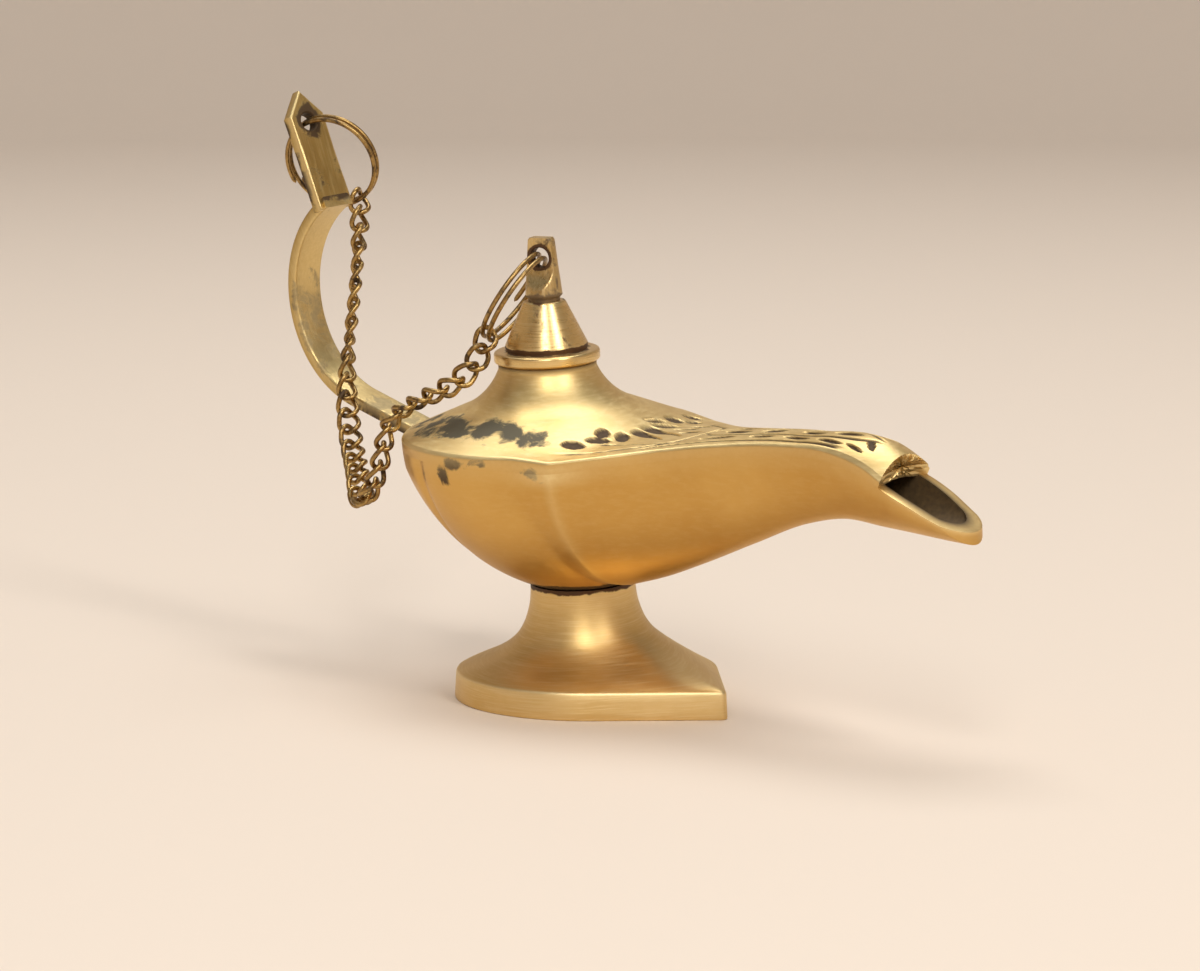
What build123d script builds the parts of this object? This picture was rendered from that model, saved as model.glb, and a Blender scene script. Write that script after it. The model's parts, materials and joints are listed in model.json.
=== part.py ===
from build123d import *
import math
import os

os.makedirs("parts", exist_ok=True)

# Lengths are in millimetres and angles in degrees. +X points to the spout, +Z is up,
# and the origin is the centre of the foot's round rim, on the surface the lamp stands on.

# Foot: a teardrop rim with one square corner under the spout, and a concave flare.
foot_radius = 23.6
foot_corner_round = 1.2
foot_rim_height = 4.6
foot_rim_draft = 3.0
foot_shoulder_height = 1.5
foot_shoulder_slope = 58.0
foot_flare_radius = 20.0
foot_waist_radius = 11.9
foot_waist_height = 12.2
foot_wall = 2.4

# The seam where the body is brazed on the foot. The casting leans a little above the rim.
seam_height = 21.0
seam_radius = 9.3
body_lean = 4.0

# Bowl: circles that open like an ellipse, and whose centres move back towards the neck.
neck_axis_x = -6.0
bowl_radius = 26.5
bowl_below_seam = 1.5
rim_height = 47.7
bowl_depth = rim_height - seam_height + bowl_below_seam
bowl_wall = 2.0
bowl_steps = 7

# Spout: half-ellipse sections, as (x, half width, edge height, keel height), with the heights
# above the bowl's rim. The first two make the shoulder, which ends in an upright ridge.
spout_shape = [
    (1.0, 25.0, 0.0, -25.9),
    (13.5, 21.8, -0.3, -25.7),
    (20.0, 17.6, 0.5, -23.8),
    (29.0, 11.9, 1.7, -20.4),
    (41.0, 8.1, 3.2, -15.4),
    (53.0, 6.5, 4.2, -10.6),
    (62.0, 6.1, 4.2, -8.7),
    (71.0, 6.5, 2.2, -9.1),
    (78.0, 6.5, -1.6, -9.4),
    (85.0, 5.2, -5.4, -9.8),
    (91.0, 3.4, -7.9, -10.1),
]
spout_sections = [(x, width, rim_height + edge, rim_height + keel) for x, width, edge, keel in spout_shape]
spout_crown = 1.0
spout_tip_x = 89.2
spout_tip_radius = 4.4
trough_end_x = 86.4
trough_end_half_width = 1.2

# Deck: the top shell, its bell-shaped neck and the mouth's front edge.
deck_thickness = 2.0
bell_foot_radius = 15.5
bell_rise = 4.5
neck_radius = 8.7
neck_rise = 7.8
bell_foot_height = rim_height + bell_rise
neck_height = bell_foot_height + neck_rise
neck_band = 1.0
neck_wall = 1.7
mouth_x = 75.5
mouth_slant = 20.0
lip_shape = [(79.0, -3.1), (85.0, -6.1), (91.0, -8.5), (98.0, -10.7)]
lip_points = [(x, rim_height + height) for x, height in lip_shape]

# Lid: flange, cove, cone and the spigot that drops into the neck.
lid_seat_gap = 0.1
lid_flange_radius = 9.4
lid_flange_thickness = 1.9
lid_flange_edge = 0.5
lid_cove_radius = 6.9
lid_cove_height = 0.9
lid_cone_radius = 7.4
lid_cone_top_radius = 3.7
lid_cone_height = 7.9
lid_spigot_length = 6.0
lid_spigot_wall = 1.5
lid_spigot_clearance = 0.3

# Finial: the eye post, its tenon, its two flats and the cross hole for the ring.
finial_height = 11.2
finial_base_radius = 3.3
finial_top_radius = 2.35
finial_groove = 0.5
finial_eye_width = 2.2
finial_flat_height = 6.6
finial_turn = 16.0
finial_tenon_radius = 1.5
finial_tenon_length = 3.0
finial_tenon_clearance = 0.02
eye_radius = 1.8
eye_drop = 3.5

# Handle: a strip from the bowl's back, a C-shaped arc and a pointed tab with a hole.
handle_width = 6.6
handle_thickness = 2.2
handle_arc_radius = 18.8
handle_root_slope = 16.4
handle_root_overlap = 1.5
handle_arc_reach = 16.65
handle_arc_rise = 20.3
handle_arc_top_angle = 121.0
handle_root_x = neck_axis_x - bowl_radius + handle_root_overlap
handle_arc_x = handle_root_x - handle_arc_reach
handle_arc_z = rim_height + handle_arc_rise
tab_tilt = 21.7
tab_length = 22.7
tab_point_length = 4.6
tab_width = 8.2
tab_hole_radius = 1.7
tab_hole_from_tip = 6.0

# Split rings: two turns of wire, on the tab and on the finial's eye.
ring_wire = 0.9
ring_radius = 8.6
ring_turns = 2
ring_coil_gap = 0.42
wire_sides = 6
tab_ring_swing = 24.0
tab_ring_turn = 12.0
lid_ring_fall_angle = 40.0
lid_ring_azimuth = 243.0
lid_ring_turn = 8.0

# Curb chain: identical twisted links of flat-sided wire.
link_count = 32
link_wire = 0.85
link_width = 4.4
link_pitch = 3.5
link_gap = 0.35
link_twist = 45.0
link_bends = 6

# Where the chain passes the handle, hangs in its loop and lies over the rim.
chain_clearance = 0.6
chain_pass_back = 3.75
chain_pass_rise = 2.3
chain_sag = 2.5
chain_loop_width = 7.0
chain_rim_azimuth = 223.0
chain_deck_reach = 10.0


def lean(shape):
    """Tip a body piece over about the top of the foot's rim."""
    pivot = Pos(0, 0, foot_rim_height)
    return pivot * Rot(X=body_lean) * pivot.inverse() * shape


def teardrop(radius, corner_round):
    """A circle with a square corner towards +X."""
    tangent = radius * math.sqrt(0.5)
    arc = ThreePointArc((tangent, tangent), (-radius, 0), (tangent, -tangent))
    corner = Polyline((tangent, -tangent), (radius * math.sqrt(2), 0), (tangent, tangent))
    plan = make_face(arc + corner)
    tip = plan.vertices().sort_by(Axis.X)[-1]
    return fillet(tip, corner_round)


def flare_solid(inset, top):
    """The foot's turned flare, drawn in by a wall thickness."""
    low = foot_rim_height + foot_shoulder_height
    start = (foot_flare_radius - inset, low - inset)
    middle = (foot_waist_radius - inset, foot_waist_height - inset)
    end = (seam_radius - inset, top)
    curve = ThreePointArc(start, middle, end)
    sides = Polyline(end, (0, top), (0, low - inset), start)
    return lean(revolve(make_face(Plane.XZ * (curve + sides)), Axis.Z))


def make_foot():
    plan = teardrop(foot_radius, foot_corner_round)
    rim = extrude(plan, foot_rim_height, taper=foot_rim_draft)
    drawn_in = foot_rim_height * math.tan(math.radians(foot_rim_draft))
    top_plan = Pos(0, 0, foot_rim_height) * teardrop(foot_radius - drawn_in, foot_corner_round)
    shoulder = extrude(top_plan, foot_shoulder_height, taper=foot_shoulder_slope)
    outer = rim + shoulder + flare_solid(0, seam_height)
    well = extrude(teardrop(foot_radius - foot_wall, foot_corner_round), foot_rim_height - foot_wall / 2)
    hollow = well + flare_solid(foot_wall, seam_height - foot_wall)
    return outer - hollow


def bowl_solid(inset):
    """The round part of the bowl, as a loft of circles from the seam to the rim."""
    rings = []
    low = seam_height + inset
    high = rim_height - 0.6 * inset
    for step in range(bowl_steps + 1):
        height = low + (step / bowl_steps) ** 1.6 * (high - low)
        drop = (rim_height - height) / (bowl_depth - inset)
        radius = (bowl_radius - inset) * math.sqrt(1 - drop * drop)
        back = neck_axis_x * min(1.0, (height - seam_height) / (0.8 * (rim_height - seam_height)))
        rings.append(Pos(back, 0, height) * Circle(radius))
    return loft(rings)


def bell_solid(inset, top):
    """The deck's turned bell, from the rim up to the neck."""
    rim = (bowl_radius - 2 * inset, rim_height - inset)
    foot_of_bell = (bell_foot_radius - 0.6 * inset, bell_foot_height - inset)
    shoulder = (neck_radius - inset, neck_height - neck_band)
    slope = (foot_of_bell[0] - rim[0], foot_of_bell[1] - rim[1])
    outline = Line(rim, foot_of_bell) + TangentArc(foot_of_bell, shoulder, tangent=slope)
    closing = Polyline(shoulder, (shoulder[0], top), (0, top), (0, rim[1]), rim)
    bell = revolve(make_face(Plane.XZ * (outline + closing)), Axis.Z)
    return Pos(neck_axis_x, 0, 0) * bell


def spout_face(x, half_width, top, depth):
    """One cross-section of the spout: a half ellipse under a crowned top."""
    plane = Plane(origin=(x, 0, 0), x_dir=(0, 1, 0), z_dir=(1, 0, 0))
    lower = EllipticalCenterArc((0, top), half_width, depth, start_angle=180, arc_size=180)
    crown = ThreePointArc((half_width, top), (0, top + spout_crown), (-half_width, top))
    return make_face(plane * (lower + crown))


def spout_solid():
    faces = [spout_face(x, width, edge, edge - keel) for x, width, edge, keel in spout_sections]
    shoulder = loft(faces[:2])
    return shoulder + loft(faces[1:])


def channel_solid():
    """The oil channel: under the deck as far as the mouth, then an open trough."""
    faces = []
    for x, half_width, edge, keel in spout_sections:
        top = edge - deck_thickness - spout_crown if x < mouth_x else edge
        if x < trough_end_x:
            faces.append(spout_face(x, half_width - bowl_wall, top, top - keel - bowl_wall))
    end_top = lip_points[-2][1] + spout_crown
    faces.append(spout_face(trough_end_x, trough_end_half_width, end_top, 2 * spout_crown))
    return loft(faces)


def above_rim():
    """Everything above the seam between bowl and deck, and above the open lip."""
    rim = rim_height - deck_thickness
    points = [(-2 * bowl_radius, rim), (-bowl_radius, rim), (0, rim)]
    for x, half_width, edge, keel in spout_sections[1:]:
        if x < mouth_x - deck_thickness:
            points.append((x, edge - deck_thickness))
    points += lip_points
    top = neck_height + bowl_radius
    edge = Spline(*points)
    closing = Polyline(points[-1], (points[-1][0], top), (points[0][0], top), points[0])
    face = make_face(Plane.XZ * (edge + closing))
    return extrude(face, 2 * bowl_radius, both=True)


def make_body():
    """The bowl and the deck, split along the rim."""
    outer = bowl_solid(0) + spout_solid() + bell_solid(0, neck_height)
    tip_plan = Pos(spout_tip_x - spout_tip_radius, 0) * Circle(spout_tip_radius)
    reach = spout_tip_x - spout_tip_radius + 2 * bowl_radius
    block_plan = Pos(spout_tip_x - spout_tip_radius - reach / 2, 0) * Rectangle(reach, 4 * bowl_radius)
    tip_tool = extrude(tip_plan + block_plan, 3 * rim_height)
    outer = outer & tip_tool
    inner = bowl_solid(bowl_wall) + channel_solid()
    inner += bell_solid(neck_wall, neck_height + deck_thickness)
    shell = outer - inner
    cap = above_rim()
    mouth = Pos(mouth_x + bowl_radius, 0, rim_height) * Rot(Y=mouth_slant) * Box(
        2 * bowl_radius, 2 * bowl_radius, 4 * bowl_radius)
    return shell - cap, (shell & cap) - mouth


def make_lid():
    """The turned stopper, with a hollow spigot and a socket for the finial's tenon."""
    base = neck_height + lid_seat_gap
    flange_top = base + lid_flange_thickness
    cone_foot = flange_top + lid_cove_height
    cone_top = cone_foot + lid_cone_height
    spigot_radius = neck_radius - neck_wall - lid_spigot_clearance
    spigot_end = base - lid_spigot_length
    bore_radius = spigot_radius - lid_spigot_wall
    profile = Polyline(
        (0, cone_top),
        (lid_cone_top_radius, cone_top),
        (lid_cone_radius, cone_foot),
        (lid_cove_radius, flange_top),
        (lid_flange_radius, flange_top),
        (lid_flange_radius, base),
        (spigot_radius, base),
        (spigot_radius, spigot_end),
        (bore_radius, spigot_end),
        (bore_radius, base),
        (0, base),
        close=True,
    )
    lid = revolve(make_face(Plane.XZ * profile), Axis.Z)
    rim_edges = lid.edges().filter_by(GeomType.CIRCLE).group_by(SortBy.RADIUS)[-1]
    lid = chamfer(rim_edges, lid_flange_edge)
    socket = Pos(0, 0, cone_top) * Cylinder(
        finial_tenon_radius + finial_tenon_clearance, 2 * finial_tenon_length)
    return Pos(neck_axis_x, 0, 0) * (lid - socket), cone_top


def make_finial(base):
    """The eye post on the lid's top: a cone with a groove, two flats and a cross hole."""
    top = base + finial_height
    neck = finial_base_radius - finial_groove
    profile = Polyline(
        (0, base - finial_tenon_length + finial_tenon_clearance),
        (finial_tenon_radius, base - finial_tenon_length + finial_tenon_clearance),
        (finial_tenon_radius, base),
        (neck, base),
        (neck, base + finial_groove),
        (finial_base_radius, base + 2 * finial_groove),
        (finial_top_radius, top),
        (0, top),
        close=True,
    )
    post = revolve(make_face(Plane.XZ * profile), Axis.Z)
    flat_depth = finial_base_radius
    for side in (-1, 1):
        cut_y = side * (finial_eye_width + flat_depth) / 2
        post -= Pos(0, cut_y, top - finial_flat_height / 2) * Box(
            2 * finial_base_radius, flat_depth, finial_flat_height)
    eye = Pos(0, 0, top - eye_drop) * Rot(X=90) * Cylinder(eye_radius, 2 * finial_base_radius)
    return Pos(neck_axis_x, 0, 0) * Rot(Z=finial_turn) * (post - eye)


def make_handle():
    """The strip with its C-shaped arc, and the pointed tab on its upper end."""
    centre = (handle_arc_x, handle_arc_z)
    inner = Pos(*centre) * Circle(handle_arc_radius)
    outer = Pos(*centre) * Circle(handle_arc_radius + handle_thickness)
    low_turn = 270 - handle_root_slope
    reach = 3 * handle_arc_radius
    corners = [centre]
    for turn in (handle_arc_top_angle, (handle_arc_top_angle + low_turn) / 2, low_turn):
        corners.append(from_point(centre, turn, reach))
    arc_face = (outer - inner) & make_face(Polyline(*corners, close=True))
    start = from_point(centre, low_turn, handle_arc_radius)
    length = (handle_root_x - start[0]) / math.cos(math.radians(handle_root_slope))
    root_end = from_point(start, -handle_root_slope, length)
    root_face = make_face(Polyline(
        start,
        root_end,
        from_point(root_end, low_turn, handle_thickness),
        from_point(start, low_turn, handle_thickness),
        close=True,
    ))
    strip = extrude(Plane.XZ * (arc_face + root_face), handle_width / 2, both=True)
    shoulder = tab_length - tab_point_length
    half = tab_width / 2
    tab_plan = make_face(Polyline(
        (-half, 0), (half, 0), (half, shoulder), (0, tab_length), (-half, shoulder), close=True))
    hole = Pos(0, tab_length - tab_hole_from_tip) * Circle(tab_hole_radius)
    tab = extrude(tab_plane() * (tab_plan - hole), -handle_thickness)
    return (strip + tab) - bowl_solid(0)


def from_point(point, turn, length):
    """The point at a length and a turn from another one, in a flat drawing."""
    angle = math.radians(turn)
    return (point[0] + length * math.cos(angle), point[1] + length * math.sin(angle))


def tab_plane():
    """The tab's front face, with its foot on the arc's upper end."""
    foot_x, foot_z = from_point((handle_arc_x, handle_arc_z), handle_arc_top_angle, handle_arc_radius)
    tilt = math.radians(tab_tilt)
    return Plane(origin=(foot_x, 0, foot_z), x_dir=(0, 1, 0), z_dir=(math.cos(tilt), 0, math.sin(tilt)))


def biarc(start, start_way, end, end_way):
    """Two arcs that leave and arrive along given directions."""
    chord = end - start
    both = start_way + end_way
    bend = 2 * (1 - start_way.dot(end_way))
    reach = (math.sqrt(chord.dot(both) ** 2 + bend * chord.dot(chord)) - chord.dot(both)) / bend
    middle = (start + end + (start_way - end_way) * reach) * 0.5
    middle_way = (end - start - both * reach).normalized()
    return TangentArc(start, middle, tangent=start_way) + TangentArc(middle, end, tangent=middle_way)


def split_ring(anchor, reach_way, wire_way):
    """Two turns of wire that pass through the anchor and hang in reach_way from it."""
    axis = reach_way.cross(wire_way).normalized()
    centre = anchor + reach_way * ring_radius
    rise = ring_wire + ring_coil_gap
    quarters = 4 * ring_turns
    points = []
    ways = []
    for quarter in range(quarters + 1):
        angle = math.radians(90 * quarter + 270)
        height = rise * (quarter / 4 - ring_turns / 2 + math.cos(angle) / 4)
        climb = rise * (1 / math.tau - math.sin(angle) / 4)
        spoke = reach_way * math.cos(angle) + wire_way * math.sin(angle)
        around = wire_way * math.cos(angle) - reach_way * math.sin(angle)
        points.append(centre + spoke * ring_radius + axis * height)
        ways.append((around * ring_radius + axis * climb).normalized())
    path = biarc(points[0], ways[0], points[1], ways[1])
    for start in range(1, quarters):
        path += biarc(points[start], ways[start], points[start + 1], ways[start + 1])
    profile = Plane(origin=points[0], z_dir=ways[0]) * RegularPolygon(ring_wire / 2, wire_sides)
    gap = min((points[i] - points[i + 4]).length for i in range(quarters - 3)) - ring_wire
    print("least gap between the turns", round(gap, 3))
    return sweep(profile, path=path)


def tab_ring_frame():
    """Where the wire passes the tab's hole, which way the ring hangs, and the wire's direction."""
    plane = tab_plane()
    down = plane.y_dir * -1
    anchor = plane.origin - down * (tab_length - tab_hole_from_tip) - plane.z_dir * (handle_thickness / 2)
    swing = math.radians(tab_ring_swing)
    turn = math.radians(tab_ring_turn)
    reach_way = down * math.cos(swing) + plane.x_dir * math.sin(swing)
    side_way = reach_way.cross(plane.z_dir)
    return anchor, reach_way, plane.z_dir * math.cos(turn) - side_way * math.sin(turn)


def lid_ring_frame(eye_height):
    """The same for the ring that hangs in the finial's eye."""
    fall = math.radians(lid_ring_fall_angle)
    azimuth = math.radians(lid_ring_azimuth)
    out_way = Vector(math.cos(azimuth), math.sin(azimuth), 0)
    reach_way = out_way * math.sin(fall) - Vector(0, 0, math.cos(fall))
    eye_turn = math.radians(finial_turn + lid_ring_turn - 90)
    eye_way = Vector(math.cos(eye_turn), math.sin(eye_turn), 0)
    wire_way = (eye_way - reach_way * eye_way.dot(reach_way)).normalized()
    return Vector(neck_axis_x, 0, eye_height), reach_way, wire_way


def link_end():
    """From a link's centre to the middle of its end's wire."""
    return (link_pitch + link_wire + link_gap) / 2


def link_hook():
    """From a link's centre to the middle of the ring that it hangs on."""
    return link_end() - (link_width - link_wire) / 2


def link_solid(centre, along, face_way):
    """One curb link: an oval of flat-sided wire, twisted from end to end."""
    across = face_way.cross(along)
    bend = (link_width - link_wire) / 2
    straight = link_end() - bend
    oval = []
    for end in (1, -1):
        for step in range(link_bends + 1):
            angle = math.pi * step / link_bends - math.pi / 2
            oval.append((end * (straight + bend * math.cos(angle)), end * bend * math.sin(angle)))
    points = []
    for length, width in oval:
        turn = math.radians(link_twist) * length / link_end()
        side = across * math.cos(turn) + face_way * math.sin(turn)
        points.append(centre + along * length + side * width)
    count = len(points)
    sections = []
    for index, point in enumerate(points):
        before = (point - points[index - 1]).normalized()
        after = (points[(index + 1) % count] - point).normalized()
        way = (before + after).normalized()
        length = oval[index][0]
        turn = math.radians(link_twist) * length / link_end()
        lift = face_way * math.cos(turn) - across * math.sin(turn)
        lift = (lift - way * lift.dot(way)).normalized()
        out = way.cross(lift)
        mitre = 1 / math.sqrt((1 + before.dot(after)) / 2)
        corners = []
        for side in range(wire_sides):
            angle = math.tau * (side + 0.5) / wire_sides
            spoke = out * (mitre * math.cos(angle)) + lift * math.sin(angle)
            corners.append(point + spoke * (link_wire / 2))
        sections.append(corners)
    faces = []
    for index in range(count):
        here = sections[index]
        there = sections[(index + 1) % count]
        for side in range(wire_sides):
            following = (side + 1) % wire_sides
            faces.append(Face(Wire.make_polygon([here[side], here[following], there[following]])))
            faces.append(Face(Wire.make_polygon([here[side], there[following], there[side]])))
    return Solid(Shell(faces))


def chain_route(start, end, end_reach_way, loop_height):
    """The chain's curve: past the handle's edge, round a hanging loop and over the rim."""
    beside = chain_clearance + link_width / 2
    rim_turn = math.radians(chain_rim_azimuth)
    rim_reach = bowl_radius + 0.7 * beside
    over_rim = Vector(
        neck_axis_x + rim_reach * math.cos(rim_turn),
        rim_reach * math.sin(rim_turn),
        rim_height + 0.8 * beside,
    )
    past_handle = Vector(
        handle_arc_x - chain_pass_back,
        -handle_width / 2 - beside,
        rim_height + chain_pass_rise,
    )
    strand = start + (past_handle - start) * 0.6
    loop = Vector(over_rim.X - 0.9 * chain_loop_width, over_rim.Y - 0.25 * chain_loop_width, loop_height)
    level_way = Vector(loop.X - past_handle.X, loop.Y - past_handle.Y, 0).normalized()
    turning = loop - level_way * chain_loop_width + Vector(0, 0, 0.35 * chain_loop_width)
    falling = (past_handle + turning) * 0.5 - Vector(0, 0, chain_sag)
    rising = Vector(
        over_rim.X - 0.2 * chain_loop_width,
        over_rim.Y - 0.3 * chain_loop_width,
        loop_height + 0.9 * chain_loop_width,
    )
    over_deck = end + end_reach_way * chain_deck_reach
    return Spline(start, strand, past_handle, falling, turning, loop, rising, over_rim, over_deck, end)


def chain_points(route):
    """The pivots along the route, from the tab's ring on, a link's length apart."""
    hook_length = link_pitch / 2 + link_hook()
    samples = 20 * link_count
    curve = [route.position_at(step / samples) for step in range(samples + 1)]
    points = [curve[0]]
    before = curve[0]
    for position in curve:
        wanted = hook_length if len(points) == 1 else link_pitch
        far = (position - points[-1]).length
        if far >= wanted:
            near = (before - points[-1]).length
            share = (wanted - near) / (far - near)
            points.append(before + (position - before) * share)
        before = position
    return points


def make_chain(start, start_way, end, end_way, end_reach_way):
    """All links, on a route whose loop hangs as low as their number allows."""
    hook_length = link_pitch / 2 + link_hook()
    low = foot_rim_height
    high = rim_height
    for attempt in range(40):
        height = (low + high) / 2
        points = chain_points(chain_route(start, end, end_reach_way, height))
        too_long = len(points) > link_count - 1 and (end - points[link_count - 1]).length > hook_length
        if too_long:
            low = height
        else:
            high = height
    points = points[:link_count] + [end]
    print("loop height", round(height, 2), "last step", round((end - points[-2]).length, 3))
    alongs = [(points[i + 1] - points[i]).normalized() for i in range(link_count)]
    hook_turn = link_twist * link_hook() / link_end()
    way = turned_about(square_to(start_way, alongs[0]), alongs[0], hook_turn)
    ways = [way]
    for along in alongs[1:]:
        ways.append(square_to(ways[-1], along))
    aim = turned_about(square_to(end_way, alongs[-1]), alongs[-1], -hook_turn)
    spare_turn = math.degrees(math.atan2(alongs[-1].dot(ways[-1].cross(aim)), ways[-1].dot(aim)))
    spare_turn = (spare_turn + 90) % 180 - 90
    links = []
    for index in range(link_count):
        along = alongs[index]
        face_way = turned_about(ways[index], along, spare_turn * index / (link_count - 1))
        centre = points[index] + along * (link_hook() if index == 0 else link_pitch / 2)
        links.append(link_solid(centre, along, face_way))
    return links


def square_to(way, along):
    """A direction made square to another one."""
    return (way - along * way.dot(along)).normalized()


def turned_about(way, along, degrees):
    """A direction turned about another one that it is square to."""
    angle = math.radians(degrees)
    return way * math.cos(angle) + along.cross(way) * math.sin(angle)


foot = make_foot()
bowl, deck = make_body()
lid, lid_top = make_lid()
finial = make_finial(lid_top)
handle = make_handle()
tab_anchor, tab_reach_way, tab_wire_way = tab_ring_frame()
eye_anchor, eye_reach_way, eye_wire_way = lid_ring_frame(lid_top + finial_height - eye_drop)
handle_ring = split_ring(tab_anchor, tab_reach_way, tab_wire_way)
lid_ring = split_ring(eye_anchor, eye_reach_way, eye_wire_way)
chain = make_chain(
    tab_anchor + tab_reach_way * (2 * ring_radius),
    tab_wire_way,
    eye_anchor + eye_reach_way * (2 * ring_radius),
    eye_wire_way,
    eye_reach_way,
)
pieces = {
    "foot": foot,
    "bowl": lean(bowl),
    "deck": lean(deck),
    "handle": lean(handle),
    "lid": lean(lid),
    "finial": lean(finial),
    "handle_ring": lean(handle_ring),
    "lid_ring": lean(lid_ring),
}
for number, link in enumerate(chain, start=1):
    pieces[f"chain_link_{number:02d}"] = lean(link)
for name, shape in pieces.items():
    print(name, len(shape.solids()), round(shape.volume, 1))
    export_step(shape, f"parts/{name}.step")
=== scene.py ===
import json
import bmesh
import bpy
import numpy as np
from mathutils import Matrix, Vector


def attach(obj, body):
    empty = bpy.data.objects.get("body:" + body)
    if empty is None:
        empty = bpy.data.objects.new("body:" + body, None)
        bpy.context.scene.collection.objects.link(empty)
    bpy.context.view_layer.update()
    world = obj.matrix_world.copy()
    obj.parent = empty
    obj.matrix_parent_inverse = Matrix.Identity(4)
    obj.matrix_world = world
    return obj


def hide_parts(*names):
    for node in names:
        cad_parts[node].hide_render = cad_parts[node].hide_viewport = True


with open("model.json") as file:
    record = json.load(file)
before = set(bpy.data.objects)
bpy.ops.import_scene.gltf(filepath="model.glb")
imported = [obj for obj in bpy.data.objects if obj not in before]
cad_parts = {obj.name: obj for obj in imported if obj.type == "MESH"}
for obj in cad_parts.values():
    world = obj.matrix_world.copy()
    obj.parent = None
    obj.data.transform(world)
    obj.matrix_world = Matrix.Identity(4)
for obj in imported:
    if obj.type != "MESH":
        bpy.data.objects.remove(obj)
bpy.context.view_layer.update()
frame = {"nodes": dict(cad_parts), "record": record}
nodes = frame["nodes"]
print("frame loaded,", len(nodes), "nodes")

mm = 0.001
stance = {"lean": 4.0, "pivotHeight": 4.6, "brushTurn": (-0.0698, 0, 0)}  # the casting leans above the foot's rim
merging = {"doubles": 2e-6, "slivers": 1e-7, "onPlane": 1e-6}


def leaned(points):
    # turns points about the X line at the pivot's height by the lean
    turn = np.radians(stance["lean"])
    up = points[..., 2] - stance["pivotHeight"]
    y = points[..., 1] * np.cos(turn) - up * np.sin(turn)
    z = stance["pivotHeight"] + points[..., 1] * np.sin(turn) + up * np.cos(turn)
    return np.stack([points[..., 0], y, z], -1)


def through(at, xs, ys):
    # cubic curve through the points, with each slope from the neighbours on both sides
    xs, ys = np.array(xs, float), np.array(ys, float)
    slopes = np.gradient(ys, xs)
    k = np.clip(np.searchsorted(xs, at) - 1, 0, len(xs) - 2)
    span = xs[k + 1] - xs[k]
    t = (at - xs[k]) / span
    rise = ys[k] * (1 + 2 * t) * (1 - t) ** 2 + ys[k + 1] * t * t * (3 - 2 * t)
    return rise + span * (slopes[k] * t * (1 - t) ** 2 - slopes[k + 1] * t * t * (1 - t))


def smoothStep(low, high, value):
    t = np.clip((value - low) / (high - low), 0, 1)
    return t * t * (3 - 2 * t)


def smoothMax(a, b, width):
    # the larger of two heights, with their crossing rounded over the width
    h = np.maximum(width - np.abs(a - b), 0) / width
    return np.maximum(a, b) + h * h * width / 4


def bellCurve(value, middle, reach):
    # 1 at the middle, and falls off smoothly over the reach
    return np.exp(-((value - middle) / reach) ** 2)


def unit(ways):
    # the same directions with length one
    return ways / np.linalg.norm(ways, axis=-1, keepdims=True)


def alongEdges(corners, count):
    # points spread evenly along each edge of an outline, without its last corner
    steps = np.linspace(0, 1, count, endpoint=False)[:, None]
    return np.concatenate([a + (b - a) * steps for a, b in zip(corners[:-1], corners[1:])])


def spots(x, y, z):
    # points from three arrays of coordinates, spread to one shape
    return np.stack(np.broadcast_arrays(x, y, z), -1).astype(float)


def wireTube(path, out, side, radius, around):
    # a circle carried along a path, spanned by two directions across it
    turn = np.linspace(0, 2 * np.pi, around, endpoint=False)[None, :, None]
    return path[:, None] + (out[:, None] * np.cos(turn) + side[:, None] * np.sin(turn)) * radius


def gridFaces(points, closedRows=False, closedColumns=True, first=0):
    # four-sided faces between the rows and columns of a grid of points
    rows, columns = points.shape[:2]
    grid = np.arange(rows * columns).reshape(rows, columns) + first
    if closedRows:
        grid = np.vstack([grid, grid[:1]])
    if closedColumns:
        grid = np.hstack([grid, grid[:, :1]])
    corners = [grid[:-1, :-1], grid[1:, :-1], grid[1:, 1:], grid[:-1, 1:]]
    return np.stack(corners, -1).reshape(-1, 4)


def turnedGrid(radius, height, steps):
    # a profile turned about Z
    turn = np.linspace(0, 2 * np.pi, steps, endpoint=False)
    return spots(radius[:, None] * np.cos(turn), radius[:, None] * np.sin(turn), height[:, None])


def addObject(name, data):
    thing = bpy.data.objects.new(name, data)
    bpy.context.scene.collection.objects.link(thing)
    return thing


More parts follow.
